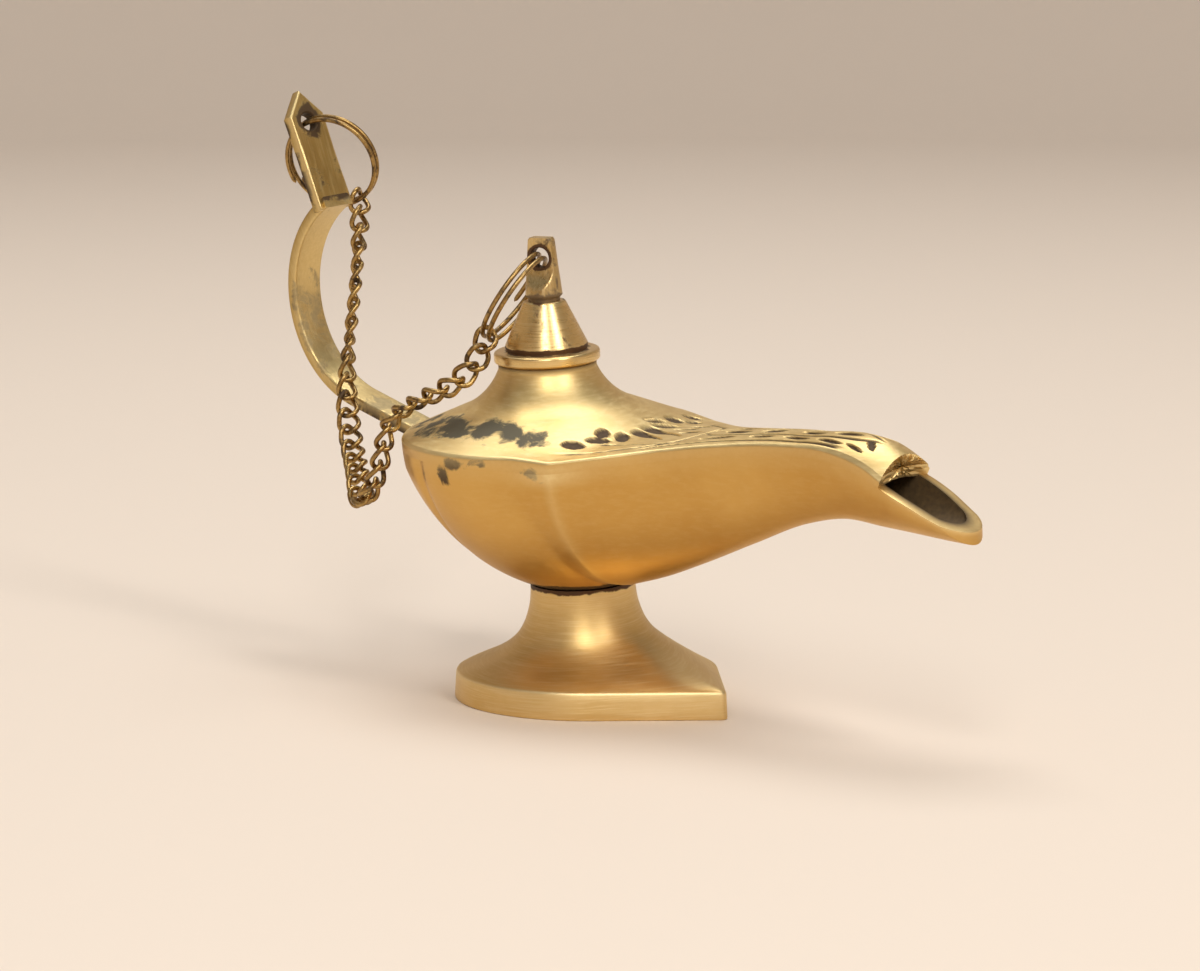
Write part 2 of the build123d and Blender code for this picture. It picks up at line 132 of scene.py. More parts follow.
def makePiece(name, points, faces, body, finishes, replaced, marks=None, sharp=35.0,
              midPlane=None, finishOf=None):
    # merges the seams and poles, turns the faces outwards and puts the piece on its body
    points = points.reshape(-1, 3)
    if midPlane is not None:  # halves that share a middle plane have no wall there
        onPlane = (np.abs(points[faces, 1]) < merging["onPlane"]) & (points[faces, 0] > midPlane)
        kept = ~onPlane.all(1)
        faces, finishOf = faces[kept], finishOf[kept]
    mesh = bpy.data.meshes.new(name)
    mesh.from_pydata((points * mm).tolist(), [], faces.tolist())
    for finish in finishes:
        mesh.materials.append(finish)
    if finishOf is not None:
        mesh.polygons.foreach_set("material_index", np.ascontiguousarray(finishOf, np.int32))
    for key, values in (marks or {}).items():
        layer = mesh.attributes.new(key, "FLOAT", "POINT")
        layer.data.foreach_set("value", np.ascontiguousarray(values, np.float32).ravel())
    work = bmesh.new()
    work.from_mesh(mesh)
    bmesh.ops.remove_doubles(work, verts=work.verts, dist=merging["doubles"])
    bmesh.ops.dissolve_degenerate(work, edges=work.edges, dist=merging["slivers"])
    bmesh.ops.recalc_face_normals(work, faces=work.faces)
    work.to_mesh(mesh)
    work.free()
    if midPlane is not None:  # such a piece is merged upright and leaned afterwards
        upright = np.empty(len(mesh.vertices) * 3, np.float32)
        mesh.vertices.foreach_get("co", upright)
        mesh.vertices.foreach_set("co", (leaned(upright.reshape(-1, 3) / mm) * mm).astype(np.float32).ravel())
    mesh.polygons.foreach_set("use_smooth", np.ones(len(mesh.polygons), bool))
    mesh.set_sharp_from_angle(angle=np.radians(sharp))
    mesh.update()
    piece = addObject(name, mesh)
    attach(piece, body)
    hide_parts(*replaced)
    return piece


def addNode(tree, kind, inputs=None, **settings):
    node = tree.nodes.new("ShaderNode" + kind)
    for key, value in settings.items():
        setattr(node, key, value)
    for key, value in (inputs or {}).items():
        if isinstance(value, bpy.types.NodeSocket):
            tree.links.new(value, node.inputs[key])
        else:
            node.inputs[key].default_value = value
    return node


def newGroup(name, inputs, outputs):
    # inputs are named values: a triple makes a vector socket, a number a float socket
    group = bpy.data.node_groups.new(name, "ShaderNodeTree")
    for key, value in inputs.items():
        kind = "NodeSocketVector" if isinstance(value, tuple) else "NodeSocketFloat"
        group.interface.new_socket(key, in_out="INPUT", socket_type=kind).default_value = value
    for key in outputs:
        group.interface.new_socket(key, in_out="OUTPUT", socket_type="NodeSocketFloat")
    return group, group.nodes.new("NodeGroupInput").outputs, group.nodes.new("NodeGroupOutput").inputs


def mapRange(tree, value, low, high, toLow, toHigh):
    return addNode(tree, "MapRange", {0: value, 1: low, 2: high, 3: toLow, 4: toHigh}).outputs[0]


def calc(tree, operation, *values):
    return addNode(tree, "Math", dict(enumerate(values)), operation=operation).outputs[0]


def markOf(tree, name):
    # a value that the piece's own points carry
    return addNode(tree, "Attribute", attribute_name=name).outputs["Fac"]


def noise(tree, vector, scale, more):
    return addNode(tree, "TexNoise", {"Vector": vector, "Scale": scale, **more}).outputs[0]


# lines left by a brush or a lathe: noise that is stretched along the stroke
brushLines, ins, outs = newGroup("brushLines", {"Vector": (0, 0, 0), "Stretch": (1, 1, 1), "Scale": 1000.0}, ["Line"])
drawn = addNode(brushLines, "VectorMath", {0: ins["Vector"], 1: ins["Stretch"]}, operation="MULTIPLY")
fine = noise(brushLines, drawn.outputs[0], ins["Scale"], {"Detail": 4.0, "Roughness": 0.65})
brushLines.links.new(fine, outs["Line"])

# cloudy tone and fine grain of a polished casting
castTone, ins, outs = newGroup("castTone", {"Vector": (0, 0, 0), "Scale": 60.0}, ["Cloud", "Grain"])
cloud = noise(castTone, ins["Vector"], ins["Scale"], {"Detail": 5.0, "Distortion": 0.3})
grainScale = calc(castTone, "MULTIPLY", ins["Scale"], 28.0)
grain = noise(castTone, ins["Vector"], grainScale, {"Detail": 3.0})
castTone.links.new(cloud, outs["Cloud"])
castTone.links.new(grain, outs["Grain"])

# patches of dark oxide: noise cut off at a level that the amount and a local weight lower
oxidePatch, ins, outs = newGroup(
    "oxidePatch", {"Vector": (0, 0, 0), "Scale": 200.0, "Amount": 0.3, "Weight": 0.0, "Soft": 0.08}, ["Mask"])
blotch = noise(oxidePatch, ins["Vector"], ins["Scale"], {"Detail": 7.0, "Roughness": 0.6, "Distortion": 0.5})
level = calc(oxidePatch, "ADD", ins["Amount"], ins["Weight"])
lifted = calc(oxidePatch, "ADD", blotch, level)
topEnd = calc(oxidePatch, "ADD", 1.0, ins["Soft"])
lowEnd = calc(oxidePatch, "SUBTRACT", 1.0, ins["Soft"])
cut = addNode(oxidePatch, "MapRange", {0: lifted, 1: lowEnd, 2: topEnd}, interpolation_type="SMOOTHSTEP")
oxidePatch.links.new(cut.outputs[0], outs["Mask"])


def mixColors(tree, share, first, second):
    return addNode(tree, "MixRGB", {0: share, 1: first, 2: second}).outputs[0]


def rgba(color):
    return (*color, 1.0)


def brassFinish(look):
    # tone from cloud and lines, then oxide by patches and by the piece's own marks, some of them painted shade, then
    # bright wear and painted highlights
    finish = bpy.data.materials.new(look["name"])
    finish.use_nodes = True
    tree = finish.node_tree
    tree.nodes.clear()
    place = addNode(tree, "TexCoord").outputs["Object"]
    tone = addNode(tree, "Group", {"Vector": place, "Scale": look["cloudScale"]}, node_tree=castTone).outputs
    turned = addNode(tree, "Mapping", {"Vector": place, "Rotation": look.get("lineTurn", stance["brushTurn"])})
    line = addNode(tree, "Group", {"Vector": turned.outputs[0], "Stretch": look["lineStretch"],
                                   "Scale": look["lineScale"]}, node_tree=brushLines).outputs["Line"]
    cloudShare = mapRange(tree, tone["Cloud"], 0.35, 0.65, 0.0, 1.0)
    color = mixColors(tree, cloudShare, rgba(look["deep"]), rgba(look["base"]))
    lineShare = mapRange(tree, line, 0.45, 0.8, 0.0, look["lineTint"])
    color = mixColors(tree, lineShare, color, rgba(look["bright"]))
    patches = {"Vector": place, "Scale": look["oxideScale"], "Amount": look["oxideAmount"]}
    if "oxideMark" in look:
        patches["Weight"] = markOf(tree, look["oxideMark"])
    dark = addNode(tree, "Group", patches, node_tree=oxidePatch).outputs["Mask"]
    color = mixColors(tree, dark, color, rgba(look["oxide"]))
    for mark, tint in look.get("tints", {}).items():
        speckle = mapRange(tree, tone["Grain"], 0.3, 0.7, 0.75, 1.0)
        color = mixColors(tree, calc(tree, "MULTIPLY", markOf(tree, mark), speckle), color, rgba(tint))
    rough = mapRange(tree, line, 0.3, 0.7, *look["rough"])
    rough = mapRange(tree, dark, 0.0, 1.0, rough, look["oxideRough"])
    metal = mapRange(tree, dark, 0.0, 1.0, 1.0, look["oxideMetal"])
    if "recessMark" in look:
        recess = markOf(tree, look["recessMark"])
        floor = mixColors(tree, tone["Grain"], rgba(look["recessDeep"]), rgba(look["recess"]))
        color = mixColors(tree, recess, color, floor)
        rough = mapRange(tree, recess, 0.0, 1.0, rough, look["recessRough"])
        metal = mapRange(tree, recess, 0.0, 1.0, metal, look["recessMetal"])
    height = calc(tree, "MULTIPLY", tone["Grain"], look["grainBump"])
    height = calc(tree, "MULTIPLY_ADD", line, look["lineBump"], height)
    height = calc(tree, "MULTIPLY_ADD", dark, look["oxideBump"], height)
    bump = addNode(tree, "Bump", {"Height": height, "Strength": look["bump"], "Distance": 0.0002})
    shader = addNode(tree, "BsdfPrincipled", {
        "Base Color": color, "Roughness": rough, "Metallic": metal, "Normal": bump.outputs[0],
        "Anisotropic": look.get("anisotropic", 0.0), "Anisotropic Rotation": look.get("anisotropicTurn", 0.0)})
    out = addNode(tree, "OutputMaterial", {"Surface": shader.outputs[0]})
    out.is_active_output = True
    return finish


castLook = {
    "name": "satinCastBrass", "base": (0.66, 0.40, 0.115), "deep": (0.58, 0.33, 0.085), "bright": (0.78, 0.55, 0.22),
    "cloudScale": 45.0, "lineStretch": (0.3, 0.3, 1.0), "lineScale": 1500.0, "lineTint": 0.25,
    "oxideScale": 260.0, "oxideAmount": 0.2, "oxide": (0.09, 0.055, 0.025), "oxideRough": 0.6, "oxideMetal": 0.6,
    "oxideMark": "tarnishAndShade", "tints": {"wearAndSheen": (0.86, 0.68, 0.34)},
    "recessMark": "soot", "recess": (0.11, 0.066, 0.025), "recessDeep": (0.006, 0.004, 0.003),
    "recessRough": 0.75, "recessMetal": 0.35,
    "rough": (0.36, 0.46), "grainBump": 0.35, "lineBump": 0.3, "oxideBump": 0.5, "bump": 0.12,
}
deckLook = dict(
    castLook, name="engravedBrass", base=(0.80, 0.60, 0.27), deep=(0.68, 0.48, 0.19), bright=(0.92, 0.76, 0.44),
    lineStretch=(0.15, 0.15, 1.0), lineScale=2600.0, lineTint=0.5, rough=(0.38, 0.50), oxideMark="solder",
    oxideScale=230.0, oxide=(0.11, 0.095, 0.06), oxideRough=0.55, oxideMetal=0.7, recessMark="recess",
    recess=(0.13, 0.08, 0.04), recessDeep=(0.045, 0.028, 0.014), lineBump=0.5, bump=0.16)
turnedLook = {
    "name": "turnedBrass", "base": (0.80, 0.58, 0.26), "deep": (0.70, 0.48, 0.18), "bright": (0.92, 0.76, 0.45),
    "cloudScale": 60.0, "lineStretch": (0.03, 0.03, 1.0), "lineScale": 5200.0, "lineTint": 0.6,
    "oxideScale": 300.0, "oxideAmount": 0.16, "oxide": (0.10, 0.05, 0.022), "oxideRough": 0.6, "oxideMetal": 0.6,
    "oxideMark": "tarnishAndShade", "tints": {"wearAndSheen": (0.90, 0.74, 0.42)}, "rough": (0.24, 0.38),
    "grainBump": 0.1, "lineBump": 0.7, "oxideBump": 0.4, "bump": 0.2, "anisotropic": 0.5, "anisotropicTurn": 0.25,
}
strapLook = dict(
    castLook, name="strapBrass", base=(0.60, 0.43, 0.16), deep=(0.46, 0.31, 0.10), bright=(0.82, 0.66, 0.34),
    lineTurn=(0.0, 0.379, 0.0), lineStretch=(1.0, 1.0, 0.06), lineScale=2400.0, lineTint=0.5,
    oxideAmount=0.26, lineBump=0.6, bump=0.2)
wireLook = {
    "name": "agedBrassWire", "base": (0.42, 0.27, 0.095), "deep": (0.24, 0.14, 0.05), "bright": (0.72, 0.52, 0.22),
    "cloudScale": 240.0, "lineStretch": (1.0, 1.0, 1.0), "lineScale": 1800.0, "lineTint": 0.5,
    "oxideScale": 420.0, "oxideAmount": 0.42, "oxide": (0.075, 0.045, 0.022), "oxideRough": 0.55, "oxideMetal": 0.7,
    "rough": (0.24, 0.40), "grainBump": 0.5, "lineBump": 0.3, "oxideBump": 0.4, "bump": 0.15,
}
footLook = dict(turnedLook, name="footBrass", rough=(0.40, 0.52), anisotropic=0.3)
finialLook = dict(turnedLook, name="finialBrass", oxideAmount=0.4, lineStretch=(1.0, 1.0, 0.08), lineScale=2600.0,
                  anisotropic=0.0, base=(0.64, 0.45, 0.18), deep=(0.46, 0.30, 0.11))
castBrass, engravedBrass, turnedBrass, strapBrass, wireBrass, footBrass, finialBrass = (
    brassFinish(look) for look in (castLook, deckLook, turnedLook, strapLook, wireLook, footLook, finialLook))
print("finishes made")

# the bowl and its spout: real sizes in millimetres, upright, before the lean
shell = {
    "seamHeight": 21.0, "rimHeight": 47.7, "radius": 26.5, "depth": 28.2, "neckX": -6.0, "wall": 2.0,
    "shoulderX": 1.0, "shoulderHalfWidth": 25.0, "ridgeX": 13.5,
    "stationX": [13.5, 20, 29, 41, 53, 62, 71, 78, 85, 91],
    "halfWidths": [21.8, 17.6, 11.9, 8.1, 6.5, 6.1, 6.5, 6.5, 5.2, 3.4],
    "edges": [47.4, 48.2, 49.4, 50.9, 51.9, 51.9, 49.9, 46.1, 42.3, 39.8],
    "keels": [22.0, 23.9, 27.3, 32.3, 37.1, 39.0, 38.6, 38.3, 37.9, 37.6],
    "splitX": [-60, -26.5, 0, 13.5, 20, 29, 41, 53, 62, 71, 79, 85, 91],
    "splitZ": [45.7, 45.7, 45.7, 45.4, 46.2, 47.4, 48.9, 49.9, 49.9, 47.9, 44.6, 41.6, 39.2],
    "shoulderEdgeSlope": -0.024, "shoulderKeelSlope": 0.016, "blend": 0.5,
    "tipFromX": 82.0, "tipX": 89.2, "tipLength": 9.0, "tipHalf": 6.2,
    "troughEndX": 86.4, "troughLength": 7.5, "troughHalf": 4.5, "lipRound": 0.35, "lipFromX": 73.0,
    # dark spots under the near rim, as x, height, both reaches and weight
    "rimSpots": [(-7.4, 43.8, 1.4, 2.6, 0.54), (-4.6, 46.2, 3.2, 1.2, 0.52), (0.5, 46.6, 2.6, 1.0, 0.4),
                 (10.5, 45.4, 2.6, 1.3, 0.42)],
    "creaseTurns": (250.0, 110.0), "creaseWidth": 3.2, "creaseDepth": 0.03, "creaseHeights": (24.0, 32.0),
    "creaseShade": 0.22, "seamTarnish": 0.7, "soot": 0.95, "seamDarkTo": (21.2, 23.6), "seamReach": (10, 16),
}


def spoutAt(x):
    # half width, edge and keel of the spout: straight on the shoulder, curves past the ridge
    past = x - shell["ridgeX"]
    slope = (shell["shoulderHalfWidth"] - shell["halfWidths"][0]) / (shell["shoulderX"] - shell["ridgeX"])
    slopes = {"halfWidths": slope, "edges": shell["shoulderEdgeSlope"], "keels": shell["shoulderKeelSlope"]}
    return [np.where(past < 0, shell[key][0] + past * slope, through(x, shell["stationX"], shell[key]))
            for key, slope in slopes.items()]


def roundAt(z, inset):
    # centre and radius of the bowl's circle at a height: an ellipse whose centre moves back
    share = np.clip((z - shell["seamHeight"]) / (0.8 * (shell["rimHeight"] - shell["seamHeight"])), 0, 1)
    drop = np.clip((shell["rimHeight"] - z) / (shell["depth"] - inset), 0, 1)
    return shell["neckX"] * share, (shell["radius"] - inset) * np.sqrt(1 - drop * drop)


def widerOf(first, second):
    # the larger half width, with the crossing rounded where both are there
    both = (first > 0) & (second > 0)
    return np.where(both, smoothMax(first, second, shell["blend"]), np.maximum(first, second))


def halfWidthAt(x, z, inset):
    # the wider of the round bowl and the spout's half ellipse at a place and height
    centre, radius = roundAt(z, inset)
    bowlPart = np.sqrt(np.maximum(radius ** 2 - (x - centre) ** 2, 0))
    width, edge, keel = spoutAt(x)
    drop = np.clip((edge - z) / (edge - keel - inset), -1, 1)
    flank = np.where(x > shell["shoulderX"], (width - inset) * np.sqrt(1 - drop * drop), 0)
    return widerOf(bowlPart, flank)


def bottomAt(x, inset):
    # lowest height of the section at x, from a fine table of the bowl and from the keel
    heights = np.linspace(shell["seamHeight"] + inset, shell["rimHeight"], 1500)
    centre, radius = roundAt(heights, inset)
    inside = radius[None] - np.abs(x[:, None] - centre[None]) >= 0
    low = np.where(inside.any(1), heights[inside.argmax(1)], shell["rimHeight"])
    keel = np.where(x > shell["shoulderX"], spoutAt(x)[2] + inset, shell["rimHeight"])
    return np.minimum(low, keel)


def splitAt(x):
    return through(x, shell["splitX"], shell["splitZ"])


def sectionRows(x, inset, tipX, tipLength, tipHalf, angles):
    # each section falls from its top edge to its keel by the cosine of an angle
    top = splitAt(x)
    low = np.minimum(bottomAt(x, inset), top)
    z = top[:, None] - (top - low)[:, None] * np.cos(angles)[None]
    y = halfWidthAt(np.broadcast_to(x[:, None], z.shape), z, inset)
    ahead = np.clip((x - tipX + tipLength) / tipLength, 0, 1)
    y = np.minimum(y, np.where(ahead > 0, tipHalf * np.sqrt(1 - ahead ** 2), 1e3)[:, None])
    y[:, 0] = 0
    return y, z


def rimTarnish(points):
    # dark solder just under the near rim, as soft spots in x and height
    dark = np.zeros(points.shape[:-1])
    for sx, sz, reachX, reachZ, weight in shell["rimSpots"]:
        spot = bellCurve(points[..., 0], sx, reachX) * bellCurve(points[..., 2], sz, reachZ)
        dark = np.maximum(dark, weight * spot * (points[..., 1] < -8))
    return dark


def buildBowl():
    # two nested section grids, outer and inner, joined along the lip into one closed wall
    neckX, ridgeX, tipFromX = shell["neckX"], shell["ridgeX"], shell["tipFromX"]
    backX = neckX - roundAt(np.array(shell["splitZ"][0]), 0)[1]
    back = neckX - (neckX - backX) * np.cos(np.linspace(0, np.pi / 2, 70))
    spout = np.linspace(neckX, tipFromX, 170)[1:]
    spout[np.abs(spout - ridgeX).argmin()] = ridgeX
    tip = tipFromX + (shell["tipX"] - tipFromX) * np.sin(np.linspace(0, np.pi / 2, 26))[1:]
    x = np.concatenate([back, spout, tip])
    share = (x - backX) / (shell["tipX"] - backX)
    xIn = backX + shell["wall"] + share * (shell["troughEndX"] - backX - shell["wall"])
    angles = np.linspace(0, np.pi / 2, 44)
    y, z = sectionRows(x, 0, shell["tipX"], shell["tipLength"], shell["tipHalf"], angles)
    yIn, zIn = sectionRows(
        xIn, shell["wall"], shell["troughEndX"], shell["troughLength"], shell["troughHalf"], angles)
    # the lip's outer edge is eased: the last outer row drops a little and the next steps in
    zLip = z.copy()
    ease = shell["lipRound"] * smoothStep(shell["lipFromX"], shell["lipFromX"] + 3, x)
    zLip[:, -1] -= np.minimum(ease, 0.4 * (z[:, -1] - z[:, -2]))
    yStep = np.maximum(y[:, -1:] - ease[:, None] - 0.02, 0)
    inner = spots(xIn[:, None], yIn, zIn)[:, ::-1]
    half = np.concatenate([spots(x[:, None], y, zLip), spots(x[:, None], yStep, z[:, -1:]), inner], 1)
    wall = np.concatenate([np.zeros_like(y), np.zeros_like(yStep), np.ones_like(yIn)], 1)
    left = half * [1, -1, 1]
    loop = np.concatenate([half, left[:, ::-1]], 1)
    inside = np.concatenate([wall, wall[:, ::-1]], 1)
    turn = np.degrees(np.arctan2(loop[..., 1], loop[..., 0] - neckX)) % 360
    high = smoothStep(*shell["creaseHeights"], loop[..., 2]) * (1 - inside)
    for crease in shell["creaseTurns"]:
        dent = shell["creaseDepth"] * bellCurve(turn, crease, shell["creaseWidth"]) * high
        loop[..., 0] = neckX + (loop[..., 0] - neckX) * (1 - dent)
        loop[..., 1] *= 1 - dent
    x, y, z = loop[..., 0], loop[..., 1], loop[..., 2]
    fromRim = splitAt(x) - z
    tarnishAndShade = shell["seamTarnish"] * (1 - smoothStep(*shell["seamDarkTo"], z))
    tarnishAndShade *= 1 - smoothStep(*shell["seamReach"], np.hypot(x, y))
    # beside each crease a dark stripe of painted shade goes into the tarnish mark
    for crease in shell["creaseTurns"]:
        tarnishAndShade += shell["creaseShade"] * bellCurve(turn, crease + 3, 3.0) * high
    tarnishAndShade += rimTarnish(loop) * (1 - inside)
    # bright tint marks: a little rim wear all round and wear on the lip's edge, with a painted highlight at the near
    # rim by the ridge and a painted highlight line down the ridge
    nearRidge = bellCurve(x, ridgeX, 5.0) * (y < 0)
    wearAndSheen = (1 - smoothStep(0.2, 3.2, fromRim)) * (0.15 + 0.6 * nearRidge) * (1 - inside)
    wearAndSheen += 0.25 * bellCurve(x, ridgeX, 0.9) * (1 - inside)
    lip = smoothStep(shell["lipFromX"] + 1, shell["lipFromX"] + 5, x) * bellCurve(fromRim, 0, 0.5)
    marks = {"tarnishAndShade": tarnishAndShade * (1 - lip), "wearAndSheen": np.clip(wearAndSheen + 0.5 * lip, 0, 1), "soot": inside * shell["soot"]}
    return makePiece("satinBowl", leaned(loop), gridFaces(loop), "lamp", [castBrass], ["bowl"], marks)


buildBowl()
print("bowl made")

# the deck: bell, top of the spout and the leaves cut into it
deck = {
    "bellFoot": (15.5, 52.2), "neckRadius": 8.7, "neckHeight": 60.0, "neckBand": 1.0, "neckWall": 1.7,
    "thickness": 2.0, "crown": 1.0, "mouthX": 74.6, "mouthSlant": 20.0, "edgeRound": 0.5,
    "mouthCrown": 2.2, "leafDepth": 0.45, "lineDepth": 0.3, "boreFrom": 53.0, "neckReachX": 24.0, "underInset": 2.2,
    "rows": 92, "edgeColumn": 101, "wallColumns": (102, 105), "crownFromTo": (54, 73), "leafFromReach": (13.0, 15.0),
    "spoutFromX": 10, "bowlNarrow": 0.9975, "recessFromTo": (0.05, 0.2),
    # leaves: middle, half length and half width as x, y pairs, and a bow where there is one
    "leaves": [
        (12.5, -13.9, 1.9, 1.3, 0.7, -0.9), (14.4, -9.6, 1.6, 1.7, 0.6, -0.7),
        (13.3, -7.2, 0.7, 1.3, 0.9, -0.9), (16.3, -5.4, 0.9, 1.0, 1.1, -1.4),
        (20.9, -4.2, 5.2, -1.5, 1.08, -1.3, -2.4, 2.7), (22.1, -1.7, 6.6, -1.8, 1.08, -1.3, -3.3, 3.6),
        (16.2, 6.2, 1.3, 2.7, 0.6, -0.7), (13.8, 5.8, 0.6, 2.4, 0.5, -0.6),
        (13.8, 10.8, 1.2, 1.4, 0.9, -1.1), (15.4, 14.2, 1.0, 1.3, 0.8, -1.0),
        (12.0, 17.6, 1.4, 1.5, 0.8, -1.0), (21.6, 9.4, 2.4, -0.9, 1.0, 1.1),
        (21.0, 5.4, 3.0, -0.4, 0.9, 1.1, 0.6, 0.5), (26.2, 1.2, 2.6, 0.2, 0.8, -1.0),
        (38.6, -0.3, 3.2, 0.1, 0.9, -1.1), (37.6, -4.6, 3.7, 0.9, 0.4, -0.5),
        (37.8, 3.6, 3.2, -0.6, 0.6, 0.7), (46.4, 0.2, 2.4, 0.9, 0.9, -1.0),
        (46.8, -3.6, 2.6, 0.4, 0.4, -0.5), (47.6, 3.6, 2.6, 0.2, 0.5, 0.7),
        (54.4, -3.5, 2.9, 0.1, 0.4, -0.5), (55.6, -0.3, 2.9, -0.1, 0.8, -0.9),
        (56.0, 3.5, 2.9, -0.1, 0.6, 0.7), (61.8, -3.9, 2.9, -0.2, 0.35, -0.45),
        (63.4, -0.6, 3.2, 0.2, 0.5, -0.8), (67.4, -4.3, 2.0, -0.3, 0.4, -0.4),
        (69.8, -2.6, 0.9, -1.2, 0.45, 0.3), (67.6, 2.6, 3.4, 0.5, 0.7, -1.1),
    ],
    # stems as points of a smooth curve, each with its half width
    "stems": [
        (0.3, [(10.5, -19.2), (18.6, -13.8), (25.9, -9.6), (30.4, -5.7), (31.6, 0.0), (30.0, 5.7), (25.2, 9.8),
               (17.0, 15.6)]),
        (0.24, [(15.2, -10.6), (19.5, -8.6), (26.5, -8.0), (31.1, -6.3)]),
        (0.24, [(31.6, 0.0), (34.4, -2.6), (42.0, -2.5), (51.0, -2.1), (59.0, -2.3), (66.5, -2.4), (71.5, -0.6)]),
        (0.24, [(31.6, 0.0), (34.4, 2.2), (42.0, 2.1), (51.0, 1.9), (59.0, 1.5), (66.0, 1.0), (71.5, -0.6)]),
        (0.22, [(24.0, -12.4), (30.0, -8.9), (38.0, -6.6), (48.0, -5.3), (58.0, -4.9), (66.0, -5.1)]),
    ],
    # dark solder left on the near side, as x, y, reach and weight
    "solderSpots": [(-24, -13, 5.0, 0.4), (-19, -16.5, 4.6, 0.44), (-14, -18.0, 4.6, 0.46), (-9, -18.6, 4.4, 0.46),
                    (-4, -18.6, 4.4, 0.48), (1, -18.2, 4.0, 0.46), (5.4, -17.6, 3.6, 0.44), (8.8, -17.0, 2.4, 0.38),
                    (-29, -5, 6.0, 0.36), (-28, 6, 6.0, 0.34), (-20, 15, 5.0, 0.3)],
}


def bellAt(reach):
    # straight slope from the rim to the bell's foot, then an arc that meets it and ends at the neck
    footR, footZ = deck["bellFoot"]
    endR, endZ = deck["neckRadius"], deck["neckHeight"] - deck["neckBand"]
    slope = np.array([footR - shell["radius"], footZ - shell["rimHeight"]])
    slope = slope / np.hypot(*slope)
    chord = np.array([endR - footR, endZ - footZ])
    side = np.array([slope[1], -slope[0]])
    bend = chord @ chord / (2 * chord @ side)
    centre = np.array([footR, footZ]) + side * bend
    z = centre[1] - np.sqrt(np.maximum(bend ** 2 - (reach - centre[0]) ** 2, 0))
    straight = footZ + (reach - footR) * slope[1] / slope[0]
    return np.where(reach > footR, straight, z)


def deckTop(x, y, mouthCrown=deck["mouthCrown"]):
    # the higher of the bell and the top of the spout, whose crown grows towards the mouth
    bell = bellAt(np.hypot(x - shell["neckX"], y))
    width, edge, _ = spoutAt(x)
    top = edge + (deck["crown"] + mouthCrown * smoothStep(*deck["crownFromTo"], x)) * (1 - (y / width) ** 2)
    return bell + (smoothMax(bell, top, 1.2) - bell) * smoothStep(shell["shoulderX"] - 2, shell["shoulderX"] + 7, x)


def leafField(x, y):
    # leaves are lenses in their own slanted frames; stems are grooves by distance from a curve
    depth = np.zeros_like(x)
    for cx, cy, ax, ay, bx, by, *bend in deck["leaves"]:
        bowX, bowY = bend or (0, 0)
        det = ax * by - ay * bx
        dx, dy = x - cx, y - cy
        along = (dx * by - dy * bx) / det
        bow = np.clip(1 - along ** 2, 0, 1)
        along = ((dx - bow * bowX) * by - (dy - bow * bowY) * bx) / det
        across = (ax * (dy - bow * bowY) - ay * (dx - bow * bowX)) / det
        inside = 1 - along ** 2 - np.abs(across * 0.8) ** 1.6
        depth = np.maximum(depth, deck["leafDepth"] * smoothStep(0.0, 0.42, inside))
    for half, points in deck["stems"]:
        run = np.arange(len(points))
        share = np.linspace(0, 1, 240)
        fine = np.linspace(0, len(points) - 1, 240)
        curveX, curveY = (through(fine, run, ends) for ends in zip(*points))
        fade = smoothStep(0, 0.12, share) * (1 - smoothStep(0.9, 1, share))
        for px, py, strength in zip(curveX, curveY, fade * deck["lineDepth"]):
            near = np.hypot(x - px, y - py)
            depth = np.maximum(depth, strength * (1 - smoothStep(half * 0.5, half * 1.9, near)))
    return depth


